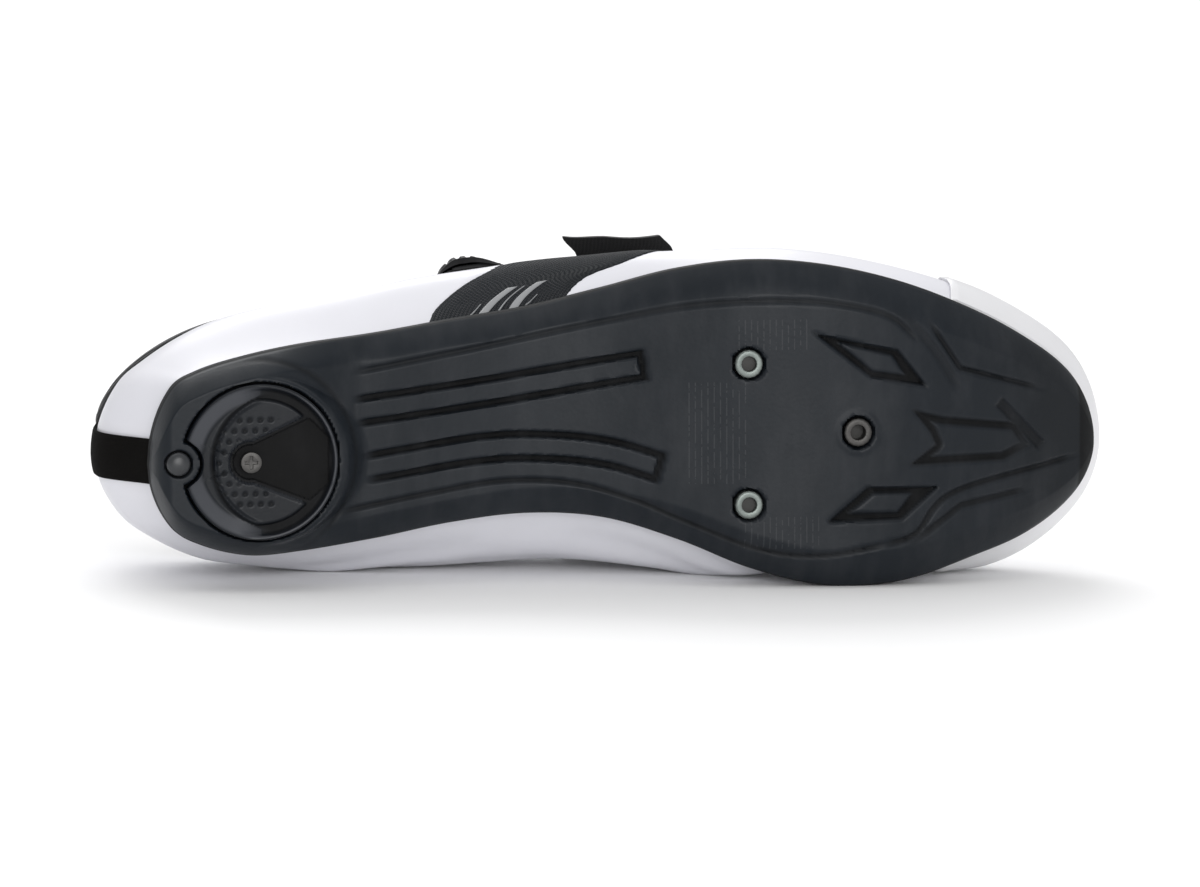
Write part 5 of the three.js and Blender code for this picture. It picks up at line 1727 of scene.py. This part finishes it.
@dataclass
class Overlays:
    """Thin pieces that lie on the upper: toe cap, heel tape, side mesh with its printed bars."""

    shop: Workshop
    upper: Upper
    thickness: float = 0.8
    gap: float = 0.3
    toe_cap_ends: tuple[float, float] = (226.5, 223.0)
    cap_low: float = 0.03
    cap_height: float = 1.2
    cap_thickness: float = 1.4
    heel_strip_width: float = 13.5
    binding_turns: tuple[float, float] = (-5.0, 72.0)
    binding_away: float = 2.5
    binding_radius: float = 2.1
    edge: float = 0.9
    # shares across the mesh at the foot and at the head, then its ways up from and to
    bars: tuple = (
        (0.3, 0.316, 0.338, 0.348, 0.02, 0.09),
        (0.36, 0.43, 0.41, 0.48, 0.008, 0.175),
        (0.503, 0.52, 0.53, 0.543, 0.008, 0.17),
        (0.585, 0.652, 0.6, 0.67, 0.015, 0.18),
        (0.7, 0.712, 0.738, 0.748, 0.03, 0.09),
    )

    def patch(
        self,
        name: str,
        place: Place,
        rows: int,
        columns: int,
        height: float,
        thickness: float,
        size: tuple[float, float],
        bulge: float = 0.0,
    ) -> Obj:
        """Models a thin piece over a patch of the wall, with rounded edges.

        Args:
            name: name of the piece.
            place: turn round the shoe and way up by two shares.
            rows: steps along the first share.
            columns: steps along the second share.
            height: height of its face over the wall.
            thickness: its thickness.
            size: its two lengths in millimetres, for the rounding and the weave.
            bulge: rise of its middle.

        Returns:
            The piece.
        """

        def surface(u: Array, v: Array) -> Array:
            """Points of the outer face, lower towards the edges."""
            around, up = place(u, v)
            inward = np.minimum(np.minimum(u, 1 - u) * size[0], np.minimum(v, 1 - v) * size[1])
            round_off = 1 - np.clip(inward / self.edge, 0, 1)
            fall = 0.45 * thickness * (1 - np.sqrt(np.maximum(1 - round_off**2, 0)))
            dome = bulge * smooth(0, 6, inward)
            return self.shop.wall.skin(around, up, height - fall + dome)

        def weave(u: Array, v: Array) -> Array:
            """Places on the patch in centimetres."""
            return stack(u * size[0], v * size[1]) / 10

        obj = self.shop.loft(name, rows, columns).lay(surface, weave)
        finish_with(obj, "SOLIDIFY", thickness=thickness * MM, offset=-1.0, use_even_offset=False)
        settle(obj, 55)
        return obj

    def up_at(self, around: Array, x: Array, lowest: float) -> Array:
        """Way up the wall at which it passes through x."""
        low, high = np.full_like(around, lowest), np.ones_like(around)
        for _ in range(22):
            middle = (low + high) / 2
            beyond = self.shop.wall.face(around, middle)[..., 0] > x
            low, high = np.where(beyond, middle, low), np.where(beyond, high, middle)
        return high

    def cap_turns(self, shift: float, up: float) -> tuple[float, float]:
        """Turns on both sides at which the cap's back edge, moved by shift, is at a way up."""
        turns = (
            self.shop.wall.turn_at(np.array([x + shift]), np.array([up]), side)
            for x, side in zip(self.toe_cap_ends, (LATERAL, MEDIAL))
        )
        start, end = (float(turn[0]) for turn in turns)
        return start, end

    def toe_cap(self) -> Obj:
        """White cap over the toe."""
        lowest = self.cap_low
        start, end = self.cap_turns(0.0, lowest)

        def place(u: Array, v: Array) -> tuple[Array, Array]:
            """From the back edge on one side, round the toe, to the other."""
            around = mix(start, end, u)
            return around, mix(lowest, self.up_at(around, mix(*self.toe_cap_ends, u), lowest), v)

        size = (150.0, 60.0)
        height, thickness = self.cap_height, self.cap_thickness
        obj = self.patch("toe_cap_skin", place, 150, 56, height, thickness, size)
        return self.shop.dress(obj, Slot.WHITE, [WHITE_CAP], ["toe_cap"])

    def heel_tape(self) -> Obj:
        """Black tape up the back of the heel."""
        probe = 0.1

        def place(u: Array, v: Array) -> tuple[Array, Array]:
            """Even width about the middle of the heel."""
            up = mix(0.0, 0.96, v)
            gap = self.shop.wall.face(probe + 0 * up, up) - self.shop.wall.face(0 * up, up)
            per_turn = np.linalg.norm(gap, axis=-1) / probe
            return (u - 0.5) * self.heel_strip_width / per_turn, up

        size = (self.heel_strip_width, 58.0)
        height = self.gap + self.thickness
        obj = self.patch("heel_tape", place, 24, 90, height, self.thickness, size)
        return self.shop.dress(obj, Slot.LINING, [HEEL_TAPE], ["heel_strip"])

    def mesh_place(self, u: Array, v: Array) -> tuple[Array, Array]:
        """Turn and way up in the side mesh by its two shares."""
        up = mix(MESH_EDGES[0][0], MESH_EDGES[-1][0], v)
        x = mix(*mesh_span(up), u)
        return self.shop.wall.turn_at(x, up, LATERAL), up

    def bar_place(self, spec: tuple) -> Place:
        """Turn and way up on a printed bar by its two shares."""
        left, right, left_high, right_high, low, high = spec

        def place(u: Array, v: Array) -> tuple[Array, Array]:
            """Leans from the bar's foot to its head."""
            foot, head = mix(left, right, u), mix(left_high, right_high, u)
            return self.mesh_place(mix(foot, head, 1 - (1 - v) ** 1.8), mix(low, high, v))

        return place

    def side_mesh(self) -> None:
        """Black mesh with its slanted printed bars."""
        size = (48.0, 66.0)
        obj = self.patch(
            "side_mesh", self.mesh_place, 110, 150, height=0.1, thickness=0.7, size=size, bulge=0.25
        )
        self.shop.dress(obj, Slot.MESH, [SIDE_MESH], ["mesh_insert"])
        for k, spec in enumerate(self.bars):
            place, name = self.bar_place(spec), f"printed_bar_{k}"
            size = ((spec[1] - spec[0]) * 44.0, (spec[5] - spec[4]) * 80.0)
            bar = self.patch(name, place, 8, 40, height=0.55, thickness=0.35, size=size)
            self.shop.dress(bar, Slot.MESH, [GREY_PRINT])

    def collar_binding(self) -> Obj:
        """Soft black binding turned over the edge of the collar at the heel."""
        back, reach = (math.radians(turn) for turn in self.binding_turns)

        def path(share: Array) -> Array:
            """Line along the opening's edge from the back of the heel to the outer side."""
            around = mix(back, reach, share)
            return self.shop.wall.skin(around, np.full_like(around, 0.97), self.binding_away)

        radius = self.binding_radius
        return self.bead("collar_binding", path, radius, 160, LINING, Slot.LINING, 0.16)

    def bead(
        self,
        name: str,
        path: Callable[[Array], Array],
        radius: float,
        rows: int,
        finish: Finish,
        slot: Slot,
        taper: float = 0.0,
    ) -> Obj:
        """Models a thin round bead along a path.

        Args:
            name: name of the piece.
            path: points by the share along it.
            radius: radius of the bead.
            rows: steps along it.
            finish: its finish.
            slot: its material slot.
            taper: share of its length over which each end grows thin.

        Returns:
            The piece.
        """

        def surface(u: Array, v: Array) -> Array:
            """Points round the path, drawn in at both ends."""
            middle = path(u)
            ahead = path(np.minimum(u + 0.004, 1)) - path(np.maximum(u - 0.004, 0))
            ahead /= np.linalg.norm(ahead, axis=-1, keepdims=True)
            side = np.cross(ahead, np.array([0.3, -1.0, 0.2]))
            side /= np.linalg.norm(side, axis=-1, keepdims=True)
            other = np.cross(ahead, side)
            angle = 2 * math.pi * v
            drawn = smooth(0, taper, u) * smooth(1, 1 - taper, u) if taper else 1.0
            held = (np.where((u <= 0) | (u >= 1), 0, radius) * drawn)[..., None]
            turned = side * np.cos(angle)[..., None] + other * np.sin(angle)[..., None]
            return middle + turned * held

        obj = self.shop.loft(name, rows, 10).lay(surface)
        settle(obj, 80, 2e-6)
        return self.shop.dress(obj, slot, [finish])


@dataclass
class Straps:
    """Forefoot strap, toothed instep tape and the ratchet buckle."""

    shop: Workshop
    tape_thickness: float = 1.2
    end_shift: float = 1.4
    end_lean: float = 4.3
    end_rise: float = 1.4
    instep_at: float = 100.0
    instep_width: float = 17.0
    buckle_width: float = 23.0
    tape_low: float = 1.2
    lever_height: float = 3.4
    core: float = 2.5
    ribs: int = 8
    rib_height: float = 0.5
    lever_span: tuple[float, float] = (0.59, 0.8)
    teeth_span: tuple[float, float] = (0.98, 0.6)
    tooth_count: int = 22
    tooth_height: float = 0.6

    def build(self) -> None:
        """Models both straps and the buckle."""
        strap = softened_copy("forefoot_strap", "forefoot_strap_skin", 0.35)
        self.lean_end(strap)
        self.shop.dress(strap, Slot.STRAP, [STRAP_WEAVE], ["forefoot_strap"])
        tape = softened_copy("instep_strap", "instep_tape_skin", 0.25)
        self.shop.dress(tape, Slot.BUCKLE, [TAPE], ["instep_strap"])
        self.teeth()
        base = copy_of("buckle_base", "buckle_plate")
        round_edges(base, 0.2, 0.6)
        soften(base, 50)
        self.shop.dress(base, Slot.BUCKLE, [BUCKLE_PLASTIC], ["buckle_base"])
        self.lever()

    def lean_end(self, strap: Obj) -> None:
        """Leans the free end of the strap towards the toe, with its tip cut square to the shoe."""
        to_shoe = self.shop.shoe.matrix.inverted()
        outer = min((to_shoe @ v.co).y for v in strap.data.vertices)
        for vertex in strap.data.vertices:
            place = to_shoe @ vertex.co
            depth = place.y - outer
            near = float(smooth(55.0, 9.0, depth))
            place.y -= near * self.end_rise * float(smooth(125.0, 136.0, place.x))
            place.x += near * (self.end_shift + self.end_lean * float(smooth(0.0, 6.0, depth)))
            vertex.co = self.shop.shoe.matrix @ place
        strap.data.update()

    def teeth(self) -> None:
        """Fine teeth across the tape beside the buckle."""
        low = self.tape_low + self.tape_thickness - 0.1

        def surface(u: Array, v: Array) -> Array:
            """Saw profile along the tape's outer end."""
            wall = self.shop.wall
            x = self.instep_at + 0.8 * self.instep_width * (u - 0.5)
            up = mix(*self.teeth_span, v)
            loop = np.where((u <= 0) | (u >= 1) | (v <= 0) | (v >= 1), -0.3, 0.0)
            saw = self.tooth_height * np.mod(v * self.tooth_count, 1.0)
            return wall.skin(wall.turn_at(x, up, LATERAL), up, low + saw + loop)

        obj = self.shop.loft("tape_teeth", 6, 176).lay(surface)
        finish_with(obj, "SOLIDIFY", thickness=0.3 * MM, offset=-1.0)
        settle(obj, 30)
        self.shop.dress(obj, Slot.BUCKLE, [TAPE])

    def lever(self) -> Obj:
        """Ribbed lever of the buckle, closed all round."""
        wall = self.shop.wall
        low = self.tape_low + self.tape_thickness + 0.3 - self.core

        def surface(u: Array, v: Array) -> Array:
            """Loop over the top and back under the lever, drawn in at both ends."""
            over = v <= 0.5
            share = np.where(over, 2 * v, 2 - 2 * v)
            end = np.clip(np.minimum(u, 1 - u) * self.buckle_width / 0.5, 0, 1)
            side = np.clip(np.minimum(share, 1 - share) * 14 / 0.5, 0, 1)
            rise_fall = smooth(-0.12, 0.3, u) * mix(0.1, 1.0, smooth(1.02, 0.42, u))
            hump = rise_fall * np.sin(math.pi * mix(0.25, 0.75, share))
            rib = 0.5 + 0.5 * np.tanh(4.0 * np.cos(2 * math.pi * self.ribs * u))
            rib = rib * smooth(0.02, 0.12, u) * smooth(0.62, 0.45, u)
            tall = self.lever_height * hump + 1.3 * self.rib_height * rib * smooth(0.05, 0.2, share)
            round_off = np.sqrt(np.maximum(1 - (1 - end * side) ** 2, 0))
            body = self.core * mix(0.25, 1.0, rise_fall) + tall * mix(0.35, 1.0, round_off)
            rise = np.where(over, body * np.where(end > 0, 1, 0), 0)
            x = self.instep_at + self.buckle_width * (u - 0.5)
            up = mix(*self.lever_span, share)
            return wall.skin(wall.turn_at(x, up, LATERAL), up, low + rise)

        obj = self.shop.loft("buckle_lever_skin", 150, 60).lay(surface)
        settle(obj, 45, 2e-6)
        return self.shop.dress(obj, Slot.BUCKLE, [BUCKLE_PLASTIC], ["buckle_lever"])


@dataclass
class Lining:
    """Soft pieces inside: collar roll, tongue and footbed."""

    shop: Workshop

    def build(self) -> None:
        """Finishes the three soft pieces."""
        collar, tongue, _ = (
            self.shop.dress(softened_copy(solid, name), Slot.LINING, [finish], [solid])
            for solid, name, finish in (
                ("collar_padding", "collar_roll", LINING),
                ("tongue", "tongue_skin", LINING),
                ("insole", "footbed", FOOTBED),
            )
        )


@dataclass
class Stitching:
    """Rows of short stitches, one template copied along paths on the wall."""

    shop: Workshop
    pitch: float = 2.4
    length: float = 1.7
    width: float = 0.34
    cap_margin: float = 2.2
    edge_row: float = 0.912

    def row(self, name: str, path: Array, normals: Array, finish: Finish, slot: Slot) -> None:
        """Sets stitches along a path.

        Args:
            name: name of the row.
            path: fine points of the path.
            normals: outward directions there.
            finish: finish of the thread.
            slot: its material slot.
        """
        steps = np.linalg.norm(np.diff(path, axis=0), axis=-1)
        way = np.concatenate([[0], np.cumsum(steps)])
        count = int(way[-1] / self.pitch)
        deselect()
        bpy.ops.mesh.primitive_uv_sphere_add(segments=6, ring_count=4, radius=1.0)
        seed = bpy.context.object
        corners = np.array([v.co[:] for v in seed.data.vertices])
        faces = [tuple(p.vertices) for p in seed.data.polygons]
        bpy.data.objects.remove(seed)
        all_corners: list[Array] = []
        all_faces: list[tuple] = []
        for k in range(count):
            at = (k + 0.5) * self.pitch
            i = int(np.clip(np.searchsorted(way, at) - 1, 0, len(path) - 2))
            share = (at - way[i]) / max(steps[i], 1e-6)
            centre = mix(path[i], path[i + 1], share)
            ahead = (path[i + 1] - path[i]) / max(steps[i], 1e-6)
            out = normals[i] - ahead * float(normals[i] @ ahead)
            out /= np.linalg.norm(out)
            beside = np.cross(ahead, out)
            scaled = corners * (self.width / 2, self.width / 2, self.length / 2)
            placed = centre + scaled[:, :1] * beside + scaled[:, 1:2] * out + scaled[:, 2:] * ahead
            base = len(corners) * k
            all_corners.append(self.shop.shoe.points(placed))
            all_faces.extend(tuple(base + c for c in f) for f in faces)
        mesh = bpy.data.meshes.new(name)
        mesh.from_pydata(np.concatenate(all_corners).tolist(), [], all_faces)
        obj = bpy.data.objects.new(name, mesh)
        bpy.context.scene.collection.objects.link(obj)
        settle(obj, 80)
        self.shop.dress(obj, slot, [finish])

    def build(self, overlays: Overlays) -> None:
        """Sets the rows round the opening and the toe cap."""
        wall = self.shop.wall
        around = np.linspace(0.16, 2 * math.pi - 0.16, 700)
        ups = np.full_like(around, self.edge_row)
        lift = overlays.upper.offset(around, ups) + 0.1
        path = wall.skin(around, ups, lift)
        self.row("opening_stitches", path, wall.normal(around, ups), WHITE_THREAD, Slot.WHITE)
        ends = np.array(overlays.toe_cap_ends) + self.cap_margin
        around = np.linspace(*overlays.cap_turns(self.cap_margin, 0.12), 500)
        ups = overlays.up_at(around, np.linspace(*ends, 500), 0.1)
        high = overlays.cap_height + 0.02
        path = wall.skin(around, ups, high)
        self.row("toe_cap_stitches", path, wall.normal(around, ups), WHITE_THREAD, Slot.WHITE)


@dataclass(frozen=True)
class Lamp:
    """A soft area light: place and aim in metres, edge length and power in watts."""

    name: str
    place: tuple[float, float, float]
    aim: tuple[float, float, float]
    size: float
    power: float


@dataclass
class Studio:
    """Pale floor, soft light and the camera at the photograph's angle to the shoe."""

    shoe: ShoeFrame
    target: tuple = (126.05, -1.62, 9.0)
    towards_camera: tuple = (-0.1953, -0.118, -0.9736)
    picture_right: tuple = (0.9804, 0.0025, -0.197)
    distance: float = 3200.0
    lens: float = 347.7
    floor_size: float = 24.0
    floor_colour: tuple = (0.93, 0.93, 0.935, 1)
    floor_roughness: float = 0.85
    world_colour: tuple = (1.0, 1.0, 1.0, 1)
    world_strength: float = 0.6
    lamps: tuple[Lamp, ...] = (
        Lamp("soft_box_above", (0.0, 0.9, 4.0), (0.0, 0.5, 0.0), 8.0, 100.0),
        Lamp("soft_box_behind", (0.0, 5.0, 4.5), (0.0, 0.0, 0.0), 3.5, 165.0),
        Lamp("low_fill_in_front", (0.4, -7.0, 1.54), (0.0, 0.0, 0.03), 3.3, 178.0),
        Lamp("key_over_lateral_side", (-0.3, -0.2, 1.5), (0.0, 0.0, 0.05), 0.9, 1.6),
    )

    def build(self) -> None:
        """Sets the floor, lights, world and camera."""
        self.floor()
        for lamp in self.lamps:
            self.light(lamp)
        self.world()
        self.camera()
        bpy.context.scene.view_settings.view_transform = "Standard"

    def floor(self) -> None:
        """Plain white floor, far larger than the picture."""
        deselect()
        bpy.ops.mesh.primitive_plane_add(size=self.floor_size, location=(0, 4, 0))
        floor = bpy.context.object
        floor.name = "floor"
        material = bpy.data.materials.new("pale_floor")
        material.use_nodes = True
        skin = material.node_tree.nodes["Principled BSDF"]
        skin.inputs["Base Color"].default_value = self.floor_colour
        skin.inputs["Roughness"].default_value = self.floor_roughness
        floor.data.materials.append(material)

    def light(self, lamp: Lamp) -> None:
        """Adds a lamp turned to its aim."""
        deselect()
        bpy.ops.object.light_add(type="AREA", location=lamp.place)
        made = bpy.context.object
        made.name = lamp.name
        made.data.size, made.data.energy = lamp.size, lamp.power
        made.rotation_mode = "QUATERNION"
        made.rotation_quaternion = (Vector(lamp.aim) - Vector(lamp.place)).to_track_quat("-Z", "Y")

    def world(self) -> None:
        """Even pale surroundings."""
        world = bpy.context.scene.world or bpy.data.worlds.new("studio")
        bpy.context.scene.world = world
        world.use_nodes = True
        back = world.node_tree.nodes["Background"]
        back.inputs[0].default_value = self.world_colour
        back.inputs[1].default_value = self.world_strength

    def camera(self) -> None:
        """Places the camera."""
        data = bpy.data.cameras.new("camera")
        camera = bpy.data.objects.new("camera", data)
        bpy.context.scene.collection.objects.link(camera)
        target = self.shoe.matrix @ Vector(self.target)
        back = self.shoe.direction(self.towards_camera)
        right = self.shoe.direction(self.picture_right)
        right = (right - back * right.dot(back)).normalized()
        up = back.cross(right)
        turn = Matrix((right, up, back)).transposed().to_4x4()
        turn.translation = target + back * self.distance * MM
        camera.matrix_world = turn
        data.lens = self.lens
        data.clip_start, data.clip_end = 0.05, 60
        bpy.context.scene.camera = camera
        logger.info("camera %.3f m above the floor", turn.translation.z)


def main() -> None:
    """Builds the classes in order."""
    logging.basicConfig(level=logging.INFO, format="%(message)s")
    sole = SoleForm()
    shop = Workshop(ShoeFrame(), sole, WallForm(sole), Groups())
    under = Sole(shop)
    under.build()
    under.fittings()
    HeelPad(shop).build()
    upper = Upper(shop)
    upper.build()
    overlays = Overlays(shop, upper)
    overlays.toe_cap()
    overlays.heel_tape()
    overlays.side_mesh()
    overlays.collar_binding()
    Straps(shop).build()
    Lining(shop).build()
    Stitching(shop).build(overlays)
    Studio(shop.shoe).build()


if __name__ == "__main__":
    main()
